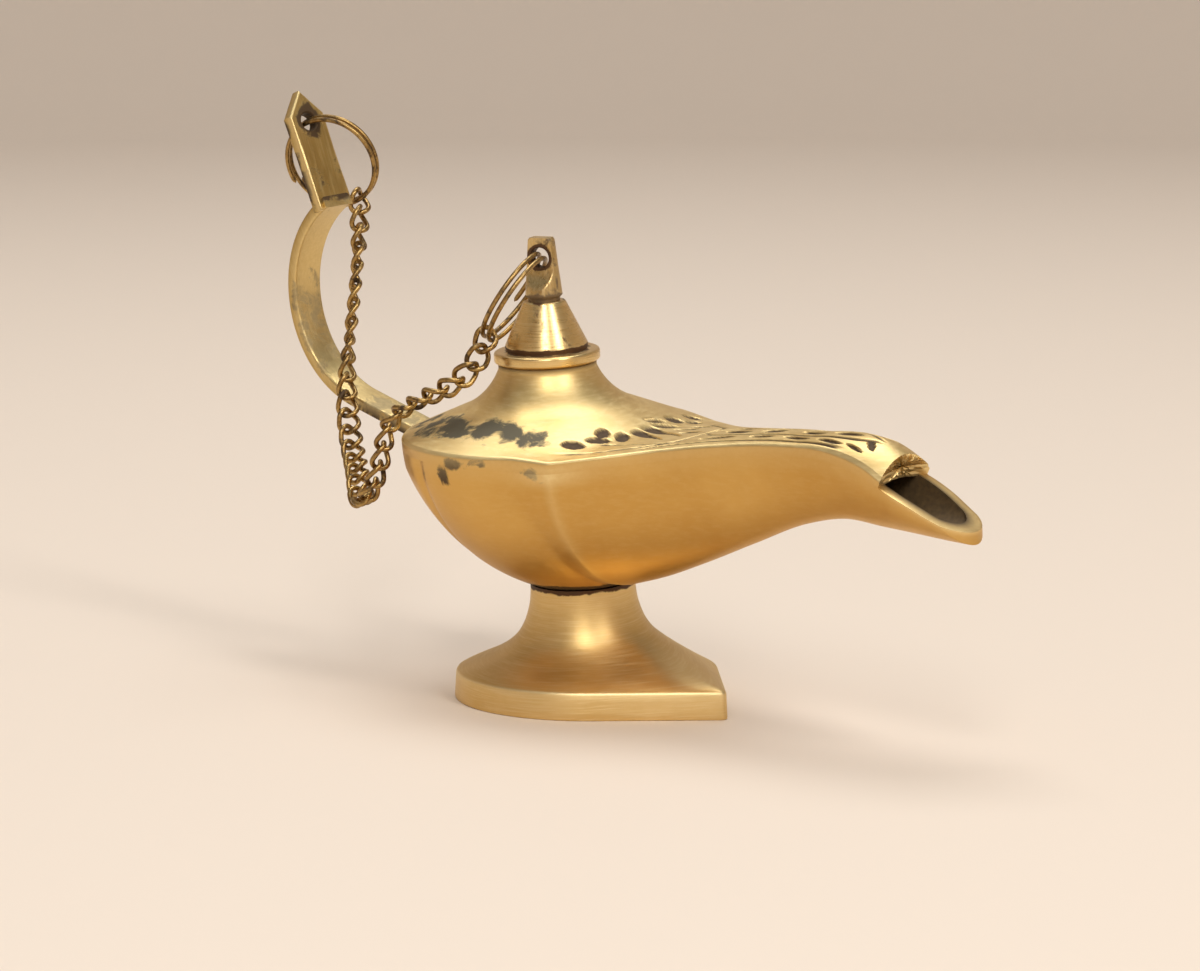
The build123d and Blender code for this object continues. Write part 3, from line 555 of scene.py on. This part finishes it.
def halfDeck(side):
    # one half as a loop of rows: neck bore, neck top, bell and deck, rounded edge, wall, underside
    frontX, boreFrom = deck["mouthX"], deck["boreFrom"]
    neckX, neckR = shell["neckX"], deck["neckRadius"]
    turns = np.linspace(0, np.pi * 0.62, 76)
    roundX = neckX - shell["radius"] * np.cos(turns)
    spoutX = np.linspace(roundX[-1], frontX, 210)[1:]
    x = np.concatenate([roundX, spoutX])
    width = np.where(x > shell["shoulderX"], spoutAt(x)[0], 0)
    bowlWidth = np.sqrt(np.maximum(shell["radius"] ** 2 - (x - neckX) ** 2, 0))
    y = -widerOf(bowlWidth, width)
    y[0] = 0
    along = unit(np.stack([np.gradient(x), np.gradient(y)], -1))
    inward = np.stack([-along[:, 1], along[:, 0]], -1)
    inward[0] = (1, 0)
    inward[-1] = (0, 1)
    rim = np.stack([x, y], -1)
    eased = rim + inward * deck["edgeRound"]
    eased[0, 1] = 0
    # where each row line starts: round the neck for the bowl, along the middle for the spout
    neckEnd = np.searchsorted(x, deck["neckReachX"])
    turn = np.pi + np.concatenate([turns, np.linspace(turns[-1], np.pi, neckEnd - len(turns) + 1)[1:]])
    middleX = np.linspace(neckX + neckR, frontX, len(x) - neckEnd + 1)[1:]
    startX = np.concatenate([neckX + neckR * np.cos(turn), middleX])
    startY = np.concatenate([neckR * np.sin(turn), np.zeros(len(middleX))])
    startY[0] = 0
    startY[neckEnd - 1] = 0
    onNeck = np.arange(len(x)) < neckEnd
    share = np.linspace(0, 1, deck["rows"])[None, :]
    topX = startX[:, None] + (eased[:, :1] - startX[:, None]) * share
    topY = startY[:, None] + (eased[:, 1:] - startY[:, None]) * share
    smooth = deckTop(topX, topY)
    cut = leafField(topX, -topY * side) * smoothStep(*deck["leafFromReach"], np.hypot(topX - neckX, topY))
    cut *= smoothStep(0.0, 0.04, 1 - share) * (1 - smoothStep(frontX - 1.2, frontX - 0.4, topX))
    topZ = smooth - cut
    rimZ = deckTop(rim[:, 0], rim[:, 1])
    low = splitAt(x)
    columns, marksRecess = [], []

    def column(cx, cy, cz, recess=0.0):
        columns.append(spots(cx, cy, cz))
        marksRecess.append(recess + np.zeros(len(x)))

    bore = (neckR - deck["neckWall"]) / neckR
    boreX = np.where(onNeck, neckX + (startX - neckX) * bore, startX)
    boreY = np.where(onNeck, startY * bore, startY)
    recessTop = smoothStep(*deck["recessFromTo"], cut)
    spineRecess = np.where(onNeck, 0.0, recessTop[:, 0])
    for rise in np.linspace(0, 1, 5):
        column(boreX, boreY, np.where(onNeck, boreFrom + rise * (deck["neckHeight"] - 0.2 - boreFrom), topZ[:, 0]),
               np.where(onNeck, 0.9, spineRecess))
    # neck top columns; the thin band just under the lid's flange gets the dark recess colour as a painted shade line
    for step, height in ((0.25, 0.0), (0.85, 0.0), (1.0, -0.2), (1.0, -1.0)):
        column(boreX + (startX - boreX) * step, boreY + (startY - boreY) * step,
               np.where(onNeck, deck["neckHeight"] + height, topZ[:, 0]),
               np.where(onNeck, -4 * height * (height > -0.5), spineRecess))
    for k in range(1, topX.shape[1]):
        column(topX[:, k], topY[:, k], topZ[:, k], recessTop[:, k])
    for angle in np.radians([25, 50, 75, 90]):
        back = deck["edgeRound"] * (1 - np.sin(angle))
        column(rim[:, 0] + inward[:, 0] * back, rim[:, 1] + inward[:, 1] * back,
               rimZ - deck["edgeRound"] * (1 - np.cos(angle)))
    _, edge, keel = spoutAt(x)
    spoutFromX = deck["spoutFromX"]
    narrow = np.where(x > spoutFromX, np.sqrt(1 - (deck["thickness"] / (edge - keel)) ** 2), deck["bowlNarrow"])
    for drop in (0.5, 1.0):
        scale = 1 - (1 - narrow) * drop
        column(np.where(x < spoutFromX, neckX + (x - neckX) * scale, x), y * scale,
               (rimZ - deck["edgeRound"]) * (1 - drop) + low * drop)
    inside = rim + inward * deck["underInset"]
    inside[:, 1] = np.minimum(inside[:, 1], 0)
    for step in np.linspace(0, 1, 12)[1:]:
        cx, cy = inside[:, 0] + (boreX - inside[:, 0]) * step, inside[:, 1] + (boreY - inside[:, 1]) * step
        cz = deckTop(cx, cy, 0.0) - deck["thickness"]
        column(cx, cy, np.where(onNeck, np.minimum(cz, boreFrom), cz), 1.0)
    half = np.stack(columns, 1)
    recess = np.stack(marksRecess, 1)
    # the mouth's front face: the last section leans back under the edge and closes on its middle
    last = half[-1]
    zero = np.zeros(1)
    middleZ = (deckTop(zero + frontX, zero) + deckTop(zero + frontX, zero, 0.0) - deck["thickness"])[0] / 2
    rng = np.random.default_rng(7)
    closing = []
    for step in (0.12, 0.25, 0.4, 0.55, 0.7, 0.85, 1.0):
        face = last + (np.array([frontX, 0, middleZ]) - last) * step
        face[:, 0] += rng.uniform(-0.2, 0.2, len(last)) * (step < 1) * (last[:, 1] < -0.01)
        closing.append(face)
    half = np.concatenate([half, np.array(closing)], 0)
    recess = np.concatenate([recess, np.zeros((len(closing), recess.shape[1]))], 0)
    tilt = np.tan(np.radians(deck["mouthSlant"]))
    nearFront = smoothStep(frontX - 4, frontX, half[..., 0])
    half[..., 0] -= nearFront * tilt * np.maximum(deckTop(half[..., 0], half[..., 1]) - half[..., 2], 0)
    return half * [1, -side, 1], recess


def buildDeck():
    # the two halves meet on the middle plane and are merged there
    near, nearRecess = halfDeck(-1)
    far, farRecess = halfDeck(1)
    both = np.concatenate([near.reshape(-1, 3), far.reshape(-1, 3)])
    rows, count = near.shape[:2]
    faces = np.concatenate([gridFaces(near), gridFaces(far, first=rows * count)])
    x, y = both[:, 0], both[:, 1]
    solder = np.zeros(len(both))
    for sx, sy, reach, weight in deck["solderSpots"]:
        solder = np.maximum(solder, weight * bellCurve(np.hypot(x - sx, y - sy), 0, reach))
    tarnishAndShade = rimTarnish(both)
    columns = np.tile(np.arange(count), rows * 2)
    # bright tint marks: wear along the rounded edge, with a painted highlight on the near side wall by the ridge
    wearAndSheen = 0.5 * bellCurve(columns, deck["edgeColumn"], 4.0)
    wearAndSheen += 0.3 * bellCurve(x, shell["ridgeX"], 5.0) * (columns > deck["edgeColumn"] + 2) * (y < 0)
    marks = {"recess": np.concatenate([nearRecess.ravel(), farRecess.ravel()]), "solder": np.maximum(solder, tarnishAndShade),
             "wearAndSheen": wearAndSheen, "tarnishAndShade": tarnishAndShade}
    faceColumn = np.tile(np.arange(count), (rows - 1) * 2)
    faceRow = np.tile(np.repeat(np.arange(rows - 1), count), 2)
    wallFrom, wallTo = deck["wallColumns"]
    sideWall = (faceColumn >= wallFrom) & (faceColumn <= wallTo) & (faceRow < rows - 8)  # not on the mouth's face
    return makePiece("engravedDeck", both, faces, "lamp", [engravedBrass, castBrass], ["deck"], marks,
                     midPlane=shell["neckX"] + deck["neckRadius"] - deck["neckWall"] - 0.01, finishOf=sideWall)


buildDeck()
print("deck made")

# the lid: turned profile as radius, height and corner round
lid = {
    "axisX": -6.0, "steps": 128, "grooveHeight": 62.5, "topHeight": 70.8, "flangeUnder": 60.2,
    "profile": [(0.0, 60.1, 0), (5.2, 60.1, 0), (5.2, 54.1, 0), (6.7, 54.1, 0.3), (6.7, 60.1, 0), (9.4, 60.1, 0.45),
                (9.4, 62.0, 0.55), (7.1, 62.0, 0.35), (7.4, 62.9, 0.3), (3.7, 70.8, 0.35), (2.8, 70.8, 0.0),
                (0.0, 70.8, 0)],
}


def roundedProfile(corners, steps=5):
    # each corner becomes a short curve between points one round's length away on both sides
    corners = np.array(corners, float)
    out = []
    for k, (r, z, ease) in enumerate(corners):
        if ease == 0:
            out.append((r, z))
            continue
        corner = np.array((r, z))
        ways = corners[[k - 1, k + 1], :2] - corner
        a, b = (corner + unit(way) * min(ease, np.hypot(*way) * 0.45) for way in ways)
        t = np.linspace(0, 1, steps)[:, None]
        out += list(a * (1 - t) ** 2 + 2 * corner * t * (1 - t) + b * t ** 2)
    return np.array(out)


def buildLid():
    # the profile turned about the neck's axis
    profile = roundedProfile(lid["profile"])
    points = turnedGrid(profile[:, 0], profile[:, 1], lid["steps"]) + [lid["axisX"], 0, 0]
    z = points[..., 2]
    tarnishAndShade = 0.75 * bellCurve(z, lid["grooveHeight"], 0.6) * (profile[:, :1] < 8.8)
    tarnishAndShade += 0.25 * bellCurve(z, lid["topHeight"], 0.5) + 0.6 * (profile[:, :1] < 6.75) * (z < lid["flangeUnder"])
    return makePiece("turnedLid", leaned(points), gridFaces(points), "lid", [turnedBrass], ["lid"],
                     {"tarnishAndShade": tarnishAndShade})


buildLid()
print("lid made")

# split rings: two turns of wire; each passes its hole at the anchor, along way, and hangs along reach
ring = {"wire": 0.86, "radius": 8.6, "turns": 2, "gap": 0.46, "around": 14, "along": 240}
ringPlaces = {
    "handle_ring": ((-64.5295, -6.6007, 98.994), (0.3378, 0.4650, -0.8184), (0.87756, 0.15876, 0.45242)),
    "lid_ring": ((-6.0, -5.155, 78.32), (-0.29182, -0.51790, -0.80413), (0.57383, -0.76741, 0.28601)),
}


def buildRing(name, nodeName, body):
    # a helix of two turns whose ends are drawn together, so that the wires lie side by side
    anchor, reach, way = (np.array(v) for v in ringPlaces[nodeName])
    axis = np.cross(reach, way)
    centre = anchor + reach * ring["radius"]
    angle = np.linspace(0, 2 * np.pi * ring["turns"], ring["along"])
    swing = angle + 1.5 * np.pi
    rise = (ring["wire"] + ring["gap"]) * (angle / (2 * np.pi) - ring["turns"] / 2 + np.cos(swing) / 4)
    spoke = np.cos(swing)[:, None] * reach + np.sin(swing)[:, None] * way
    path = centre + spoke * ring["radius"] + rise[:, None] * axis
    ahead = unit(np.gradient(path, axis=0))
    out = unit(spoke - ahead * (spoke * ahead).sum(1)[:, None])
    swell = np.ones(ring["along"]) * ring["wire"] / 2
    swell[[0, -1]] = 0
    swell[[1, -2]] *= 0.8
    points = wireTube(path, out, np.cross(ahead, out), swell[:, None, None], ring["around"])
    return makePiece(name, points, gridFaces(points), body, [wireBrass], [nodeName], sharp=60)


buildRing("handleSplitRing", "handle_ring", "handle_ring")
buildRing("lidSplitRing", "lid_ring", "lid_ring")
print("rings made")

# curb links: an oval of round wire, twisted from end to end
link = {
    "wire": 0.93, "bend": 1.775, "endReach": 2.35, "twist": 45.0, "along": 56, "around": 12,
    "rollAt": [1, 4, 8, 13, 16, 19, 25, 27, 30, 32], "roll": [0, -55, -55, 30, 45, 60, 85, 82, 46, 15],
}


def linkAxes(nodeName):
    # middle, longest, middle and shortest direction of the node's own vertices
    mesh = nodes[nodeName].data
    points = np.empty(len(mesh.vertices) * 3)
    mesh.vertices.foreach_get("co", points)
    points = np.unique(np.round(points.reshape(-1, 3) / mm, 4), axis=0)
    return points.mean(0), np.linalg.svd(points - points.mean(0), full_matrices=False)[2]


def buildLink(nodeName, body, roll, onward):
    # the oval is two straights and two half circles; it rolls about the chain's run
    centre, (along, across, face) = linkAxes(nodeName)
    along = along * np.sign(along @ onward)
    face = np.cross(along, across)
    roll = np.radians(roll)
    across, face = np.cos(roll) * across + np.sin(roll) * face, np.cos(roll) * face - np.sin(roll) * across
    bend, end = link["bend"], link["endReach"]
    straight = end - bend
    half = 2 * straight + np.pi * bend
    s = np.linspace(0, 2 * half, link["along"], endpoint=False)
    side = np.where(s < half, 1, -1)
    s = np.where(s < half, s, s - half)
    angle = np.clip((s - straight) / bend, 0, np.pi) - np.pi / 2
    onBend = (s > straight) & (s < half - straight)
    length = np.where(onBend, straight + bend * np.cos(angle), np.where(s <= straight, s, half - s))
    width = np.where(onBend, bend * np.sin(angle), np.where(s <= straight, -bend, bend))
    length, width = length * side, width * side
    turn = np.radians(link["twist"]) * length / end
    sideWay = np.cos(turn)[:, None] * across + np.sin(turn)[:, None] * face
    path = centre + length[:, None] * along + width[:, None] * sideWay
    ahead = unit(np.roll(path, -1, 0) - np.roll(path, 1, 0))
    lift = np.cos(turn)[:, None] * face - np.sin(turn)[:, None] * across
    lift = unit(lift - ahead * (lift * ahead).sum(1)[:, None])
    points = wireTube(path, np.cross(ahead, lift), lift, link["wire"] / 2, link["around"])
    name = "curbLink" + nodeName[-2:]
    return makePiece(name, points, gridFaces(points, True), body, [wireBrass], [nodeName], sharp=80)


bodyOf = {member: body for body, members in frame["record"]["behaviour"]["bodies"].items() for member in members}
linkNames = sorted(name for name in nodes if name.startswith("chain_link"))
linkRun = np.gradient(np.array([linkAxes(name)[0] for name in linkNames]), axis=0)
linkRoll = np.interp(np.arange(1, len(linkNames) + 1), link["rollAt"], link["roll"])
for name, roll, onward in zip(linkNames, linkRoll, linkRun):
    buildLink(name, bodyOf[name], roll, onward)
print("chain made")

# the handle: a strip round an arc, and a pointed tab with a hole
handle = {
    "halfWidth": 3.3, "halfThick": 1.1, "corner": 0.5, "arcX": -47.65, "arcZ": 68.0, "arcRadius": 19.9,
    "topTurn": 119.0, "lowTurn": 253.6, "rootEnd": 21.6,
    "tabFoot": (-57.333, 84.115), "tabTilt": 21.7, "tabThick": 2.2, "tabCorner": 0.45, "tabMiddle": 10.0,
    "tabOutline": [(-4.1, 0), (4.1, 0), (4.1, 18.1), (0, 22.7), (-4.1, 18.1)],
    "holeHeight": 16.7, "holeRadius": 1.7, "holeEase": 0.25, "arcSteps": 110, "around": 40,
    "palmHeight": 62.0, "bendHeights": (79.0, 85.0), "rootHeights": (50.5, 48.0),  # where the strip is dark
}


def handleStrip():
    # a rounded rectangle carried round the arc and down the straight root
    turn = np.radians(np.linspace(handle["topTurn"], handle["lowTurn"], handle["arcSteps"]))
    x = handle["arcX"] + handle["arcRadius"] * np.cos(turn)
    z = handle["arcZ"] + handle["arcRadius"] * np.sin(turn)
    run = np.linspace(0, handle["rootEnd"], 40)[1:]
    x = np.concatenate([x, x[-1] - run * np.sin(turn[-1])])
    z = np.concatenate([z, z[-1] + run * np.cos(turn[-1])])
    turn = np.concatenate([turn, np.full(len(run), turn[-1])])
    around = np.linspace(0, 2 * np.pi, handle["around"], endpoint=False) + 0.05
    ease = handle["corner"]
    wide = np.sign(np.cos(around)) * (handle["halfWidth"] - ease) + ease * np.cos(around)
    thick = np.sign(np.sin(around)) * (handle["halfThick"] - ease) + ease * np.sin(around)
    points = spots(x[:, None] + thick * np.cos(turn)[:, None], wide, z[:, None] + thick * np.sin(turn)[:, None])
    ends = points.mean(1, keepdims=True) + 0 * points
    points = np.concatenate([ends[:1], points, ends[-1:]])
    inner = np.broadcast_to(thick < 0, points.shape[:2])
    flat = np.broadcast_to(np.abs(wide) < handle["halfWidth"] - 0.7, points.shape[:2])
    height = points[..., 2]
    tarnishAndShade = 0.27 * inner * bellCurve(height, handle["palmHeight"], 11.0)
    tarnishAndShade += 0.3 * smoothStep(*handle["bendHeights"], height) * ~inner
    tarnishAndShade += 0.25 * smoothStep(*handle["rootHeights"], height)
    wearAndSheen = 0.5 * ~flat * inner
    return points.reshape(-1, 3), gridFaces(points), tarnishAndShade.ravel(), wearAndSheen.ravel()


def handleTab():
    # rows run from the hole to the outline on the front, round the edge, and back to the hole behind
    corners = np.array(handle["tabOutline"], float)
    outline = alongEdges(np.concatenate([corners, corners[:1]]), 40)
    hole = np.array([0.0, handle["holeHeight"]])
    way = unit(outline - hole)
    middle = np.array([0.0, handle["tabMiddle"]])
    ease, thick, holeEase = handle["tabCorner"], handle["tabThick"], handle["holeEase"]
    inset = outline - unit(outline - middle) * ease
    start = hole + way * (handle["holeRadius"] + holeEase)
    steps, angles = np.linspace(0, 1, 18), np.radians([30, 60, 90])
    front = [start + (inset - start) * step for step in steps]
    front += [inset + (outline - inset) * np.sin(angle) for angle in angles]
    plan = np.stack(front + front[::-1] + [hole + way * handle["holeRadius"]] * 2, 1)
    depth = np.concatenate([0 * steps, -ease * (1 - np.cos(angles))])
    depth = np.concatenate([depth, -thick - depth[::-1], [-thick + holeEase, -holeEase]])
    edge = np.concatenate([steps > 0.97, angles > 0, np.zeros(len(front) + 2)])
    tilt = np.radians(handle["tabTilt"])
    x = handle["tabFoot"][0] - plan[..., 1] * np.sin(tilt) + depth * np.cos(tilt)
    z = handle["tabFoot"][1] + plan[..., 1] * np.cos(tilt) + depth * np.sin(tilt)
    points = np.stack([x, plan[..., 0], z], -1)
    fromHole = np.hypot(plan[..., 0], plan[..., 1] - handle["holeHeight"])
    tarnishAndShade = 0.42 * bellCurve(fromHole, handle["holeRadius"], 1.6) + 0.2 * (depth < -0.6)
    tarnishAndShade += 0.16 * bellCurve(plan[..., 1], 6.0, 3.5)
    wearAndSheen = np.broadcast_to(edge, plan.shape[:2]) * 0.7
    return points.reshape(-1, 3), gridFaces(points, True), tarnishAndShade.ravel(), wearAndSheen.ravel()


def buildHandle():
    # strip and tab are two closed shells in one piece
    strip, tab = handleStrip(), handleTab()
    points, _, tarnishAndShade, wearAndSheen = (np.concatenate(both) for both in zip(strip, tab))
    faces = np.concatenate([strip[1], tab[1] + len(strip[0])])
    marks = {"tarnishAndShade": tarnishAndShade, "wearAndSheen": wearAndSheen}
    return makePiece("strapHandle", leaned(points), faces, "lamp", [strapBrass], ["handle"], marks)


buildHandle()
print("handle made")

# the foot: a turned flare that runs out to a teardrop rim with a square corner
foot = {
    "radius": 23.58, "cornerRound": 1.2, "rimHeight": 4.6, "draft": 3.0, "wall": 2.4, "edge": 0.3,
    "flareRadius": [9.3, 9.35, 9.6, 10.2, 11.0, 12.3, 14.1, 16.2, 18.5, 20.6, 22.2, 23.1],
    "flareHeight": [21.0, 19.6, 17.4, 15.2, 13.3, 11.4, 9.8, 8.4, 7.2, 6.2, 5.4, 4.9],
    "stretchFrom": 11.0, "cornerBlur": 16.0, "leanFrom": 22.0, "leanTo": 12.0, "seamHeight": 21.0,
    "hollow": [(17.6, 3.5), (13.2, 6.4), (9.6, 10.6), (7.4, 15.0), (6.9, 18.6), (3.0, 18.6), (0.0, 18.6)],
    "seamTarnish": 0.54, "edgeWear": 0.8, "arcSteps": 170, "flareSteps": 64, "turnSteps": 720,
}


def footOutline():
    # a circle, two straight lines to the corner and a small round between them
    radius, ease = foot["radius"], foot["cornerRound"]
    turn = np.radians(np.linspace(45, 315, foot["arcSteps"]))
    arc = radius * np.stack([np.cos(turn), np.sin(turn)], -1)
    tipTurn = np.radians(np.linspace(-45, 45, 9))
    tip = np.array([(radius - ease) * np.sqrt(2), 0]) + ease * np.stack([np.cos(tipTurn), np.sin(tipTurn)], -1)
    steps = np.linspace(0, 1, 34)[1:-1, None]
    return np.concatenate([arc, arc[-1] + (tip[0] - arc[-1]) * steps, tip, tip[-1] + (arc[0] - tip[-1]) * steps])


def buildFoot():
    # rows go from the seam down the flare, over the rim's edge, under it and up inside to the middle
    outline = footOutline()
    reach = np.linalg.norm(outline, axis=1)
    way = outline / reach[:, None]
    extra = reach - foot["radius"]
    run = np.arange(len(foot["flareRadius"]))
    fine = np.linspace(0, run[-1], foot["flareSteps"])
    flareR, flareZ = through(fine, run, foot["flareRadius"]), through(fine, run, foot["flareHeight"])
    drawnIn = foot["rimHeight"] * np.tan(np.radians(foot["draft"]))
    edge, rim, wall = foot["edge"], foot["radius"], foot["wall"]
    low = np.array([
        (rim - drawnIn - 0.08, 4.68), (rim - drawnIn, 4.45), (rim - drawnIn * 0.7, 3.2), (rim - drawnIn * 0.35, 1.6),
        (rim, edge), (rim - 0.08, 0.09), (rim - edge, 0.0), (rim - wall, 0.0), (rim - wall, 3.3), *foot["hollow"]])
    r = np.concatenate([[0.0, 5.0], flareR, low[:, 0]])
    z = np.concatenate([[foot["seamHeight"]] * 2, flareZ, low[:, 1]])
    count = len(flareR) + 2
    stretch = smoothStep(foot["stretchFrom"], rim - 1, r)
    stretch[-len(foot["hollow"]):] = 0
    # higher up the flare the corner is blurred, by a bell curve over the turn
    turn = np.arctan2(way[:, 1], way[:, 0])
    evenTurn = np.linspace(-np.pi, np.pi, foot["turnSteps"], endpoint=False)
    bell = bellCurve(evenTurn, 0, np.radians(foot["cornerBlur"]))
    order = np.argsort(turn)
    evenExtra = np.interp(evenTurn, turn[order], extra[order], period=2 * np.pi)
    blurred = np.real(np.fft.ifft(np.fft.fft(evenExtra) * np.fft.fft(np.fft.ifftshift(bell / bell.sum()))))
    soft = np.interp(turn, evenTurn, blurred, period=2 * np.pi)[:, None]
    crisp = smoothStep(rim - 5.0, rim - 0.4, r)
    crisp[count:] = 1
    radius = r + (soft + (extra[:, None] - soft) * crisp) * stretch
    points = spots(way[:, :1] * radius, way[:, 1:] * radius, z)
    tilt = 1 - smoothStep(foot["leanTo"], foot["leanFrom"], np.broadcast_to(r, radius.shape))
    tilt = np.where(np.arange(len(r)) >= count, 0, tilt)[..., None]
    points = points * (1 - tilt) + leaned(points) * tilt
    tarnishAndShade = foot["seamTarnish"] * smoothStep(foot["seamHeight"] - 1.5, foot["seamHeight"] - 0.2, z)
    wearAndSheen = foot["edgeWear"] * bellCurve(np.arange(len(r)), count, 1.1)
    marks = {"tarnishAndShade": np.broadcast_to(tarnishAndShade, radius.shape), "wearAndSheen": np.broadcast_to(wearAndSheen, radius.shape)}
    return makePiece("flaredFoot", points, gridFaces(points, True, False), "lamp", [footBrass], ["foot"],
                     marks)


buildFoot()
print("foot made")

# the finial: a tapered post with an eye for the ring, drawn in the eye's own plane
finial = {
    "outline": [(0.0, 82.0), (1.95, 82.0), (2.35, 81.6), (3.3, 71.8), (2.8, 71.3), (2.8, 70.8), (0.0, 70.8)],
    "heights": [70.8, 71.3, 71.8, 81.6, 82.0], "radii": [2.8, 2.8, 3.3, 2.37, 2.1],
    "eyeHeight": 78.5, "eyeRadius": 1.8, "eyeHalf": 1.1, "eyeEase": 0.16, "turn": 16.0, "edgeSteps": 16,
    "flatHeights": (71.8, 76.6), "flatSpread": 2.2, "grooveHeight": 71.1,
}


def postDepth(u, z):
    # half depth across the eye: round like the post, but no more than the flats, which fade out downwards
    radius = np.interp(z, finial["heights"], finial["radii"])
    rounded = np.sqrt(np.maximum(radius ** 2 - u ** 2, 0))
    flat = finial["eyeHalf"] + finial["flatSpread"] * (1 - smoothStep(*finial["flatHeights"], z))
    return np.maximum(-smoothMax(-rounded, -flat, 0.2), 0)


def buildFinial():
    # rays from the eye to the outline; each carries a loop: eye wall, one face, edge, other face
    half = alongEdges(np.array(finial["outline"]), finial["edgeSteps"])
    outline = np.concatenate([half, half[::-1] * [-1, 1]])
    fromEye = outline - [0, finial["eyeHeight"]]
    reach = np.linalg.norm(fromEye, axis=1)
    order = np.argsort(np.arctan2(fromEye[:, 1], fromEye[:, 0]))
    way, reach = (fromEye / reach[:, None])[order], reach[order]
    share = np.sin(np.linspace(0, np.pi / 2, 18))
    out = finial["eyeRadius"] + (reach[:, None] - finial["eyeRadius"]) * share
    u, z = out * way[:, :1], finial["eyeHeight"] + out * way[:, 1:]
    depth = postDepth(u, z)
    depth[:, 0] -= finial["eyeEase"]
    wallDepth = depth[:, :1] * np.linspace(-1, 1, 5)[1:-1]
    loopU = np.concatenate([u[:, :1] + 0 * wallDepth, u, u[:, ::-1]], 1)
    loopZ = np.concatenate([z[:, :1] + 0 * wallDepth, z, z[:, ::-1]], 1)
    loopDepth = np.concatenate([wallDepth, depth, -depth[:, ::-1]], 1)
    turn = np.radians(finial["turn"])
    points = np.stack([shell["neckX"] + loopU * np.cos(turn) - loopDepth * np.sin(turn),
                       loopU * np.sin(turn) + loopDepth * np.cos(turn), loopZ], -1)
    fromHole = np.hypot(loopU, loopZ - finial["eyeHeight"]) - finial["eyeRadius"]
    tarnishAndShade = 0.9 * bellCurve(fromHole, 0, 0.45) + 1.3 * bellCurve(loopZ, finial["grooveHeight"], 0.55)
    marks = {"tarnishAndShade": np.clip(tarnishAndShade, 0, 1), "wearAndSheen": 0.15 * smoothStep(0.6, 1.6, fromHole)}
    return makePiece("eyeFinial", leaned(points), gridFaces(points, True), "lid",
                     [finialBrass], ["finial"], marks)


buildFinial()
print("finial made")

# the set: a pale round stage that curves up into a wall, soft lights and the camera
studio = {
    "floorRadius": 1.9, "cove": 0.6, "wallHeight": 1.6, "color": (0.78, 0.68, 0.58),
    "world": (0.62, 0.64, 0.66), "worldStrength": 0.4,
    "lights": [("keyBox", (0.68, -0.87, 1.0), 0.28, 0.8, 7.0, (1.0, 0.98, 0.95)),
               ("sideBox", (1.09, -0.17, 0.95), 0.28, 0.8, 7.0, (1.0, 0.97, 0.93)),
               ("topBox", (-0.3, 0.25, 1.3), 0.9, 0.9, 10.5, (1.0, 1.0, 1.0))],
    "aim": (0.0, 0.0, 0.05), "roughness": 0.6, "specular": 0.2, "rings": 12, "coveSteps": 14, "around": 96,
}
view = {"turn": 43.0, "rise": 11.5, "distance": 800.0, "right": 2.3, "up": 37.3, "pixelsPerMm": 5.6,
        "imageWidth": 1200, "sensor": 36.0}


def buildStage():
    # a disc, a quarter-round cove and a wall, turned about Z
    cove, rings = studio["cove"], studio["rings"]
    arc = np.linspace(0, np.pi / 2, studio["coveSteps"])
    flat = studio["floorRadius"] - cove
    radius = np.concatenate([np.linspace(0.001, flat, rings), flat + cove * np.sin(arc), [studio["floorRadius"]]])
    height = np.concatenate([np.zeros(rings), cove * (1 - np.cos(arc)), [studio["wallHeight"]]])
    points = turnedGrid(radius, height, studio["around"])
    mesh = bpy.data.meshes.new("paleStage")
    mesh.from_pydata(points.reshape(-1, 3).tolist(), [], gridFaces(points).tolist())
    mesh.polygons.foreach_set("use_smooth", np.ones(len(mesh.polygons), bool))
    finish = bpy.data.materials.new("paleStage")
    finish.use_nodes = True
    shader = finish.node_tree.nodes["Principled BSDF"]
    shader.inputs["Base Color"].default_value = rgba(studio["color"])
    shader.inputs["Roughness"].default_value = studio["roughness"]
    shader.inputs["Specular IOR Level"].default_value = studio["specular"]
    mesh.materials.append(finish)
    stage = addObject("paleStage", mesh)


def aimed(thing, place, way):
    thing.location = place
    thing.rotation_mode = "QUATERNION"
    thing.rotation_quaternion = way.to_track_quat("-Z", "Y")
    return thing


def buildLights():
    world = bpy.data.worlds.new("softRoom")
    world.use_nodes = True
    glow = world.node_tree.nodes["Background"].inputs
    glow[0].default_value = rgba(studio["world"])
    glow[1].default_value = studio["worldStrength"]
    bpy.context.scene.world = world
    for name, place, sizeX, sizeY, power, color in studio["lights"]:
        data = bpy.data.lights.new(name, "AREA")
        data.shape = "RECTANGLE"
        data.size, data.size_y = sizeX, sizeY
        data.energy = power
        data.color = color
        aimed(addObject(name, data), place, Vector(studio["aim"]) - Vector(place))


def buildCamera():
    a, e = np.radians(view["turn"]), np.radians(view["rise"])
    back = np.array([np.sin(a) * np.cos(e), -np.cos(a) * np.cos(e), np.sin(e)])
    right = np.array([np.cos(a), np.sin(a), 0])
    up = np.cross(back, right)
    aim = (right * view["right"] + up * view["up"]) * mm
    place = back * view["distance"] * mm
    data = bpy.data.cameras.new("photoView")
    data.sensor_width = view["sensor"]
    data.lens = view["sensor"] * view["pixelsPerMm"] * view["distance"] / view["imageWidth"]
    data.clip_start, data.clip_end = 0.05, 20
    bpy.context.scene.camera = aimed(addObject("photoView", data), place, Vector(aim - place))


buildStage()
buildLights()
buildCamera()
bpy.context.scene.view_settings.view_transform = "Standard"
print("set, lights and camera made")
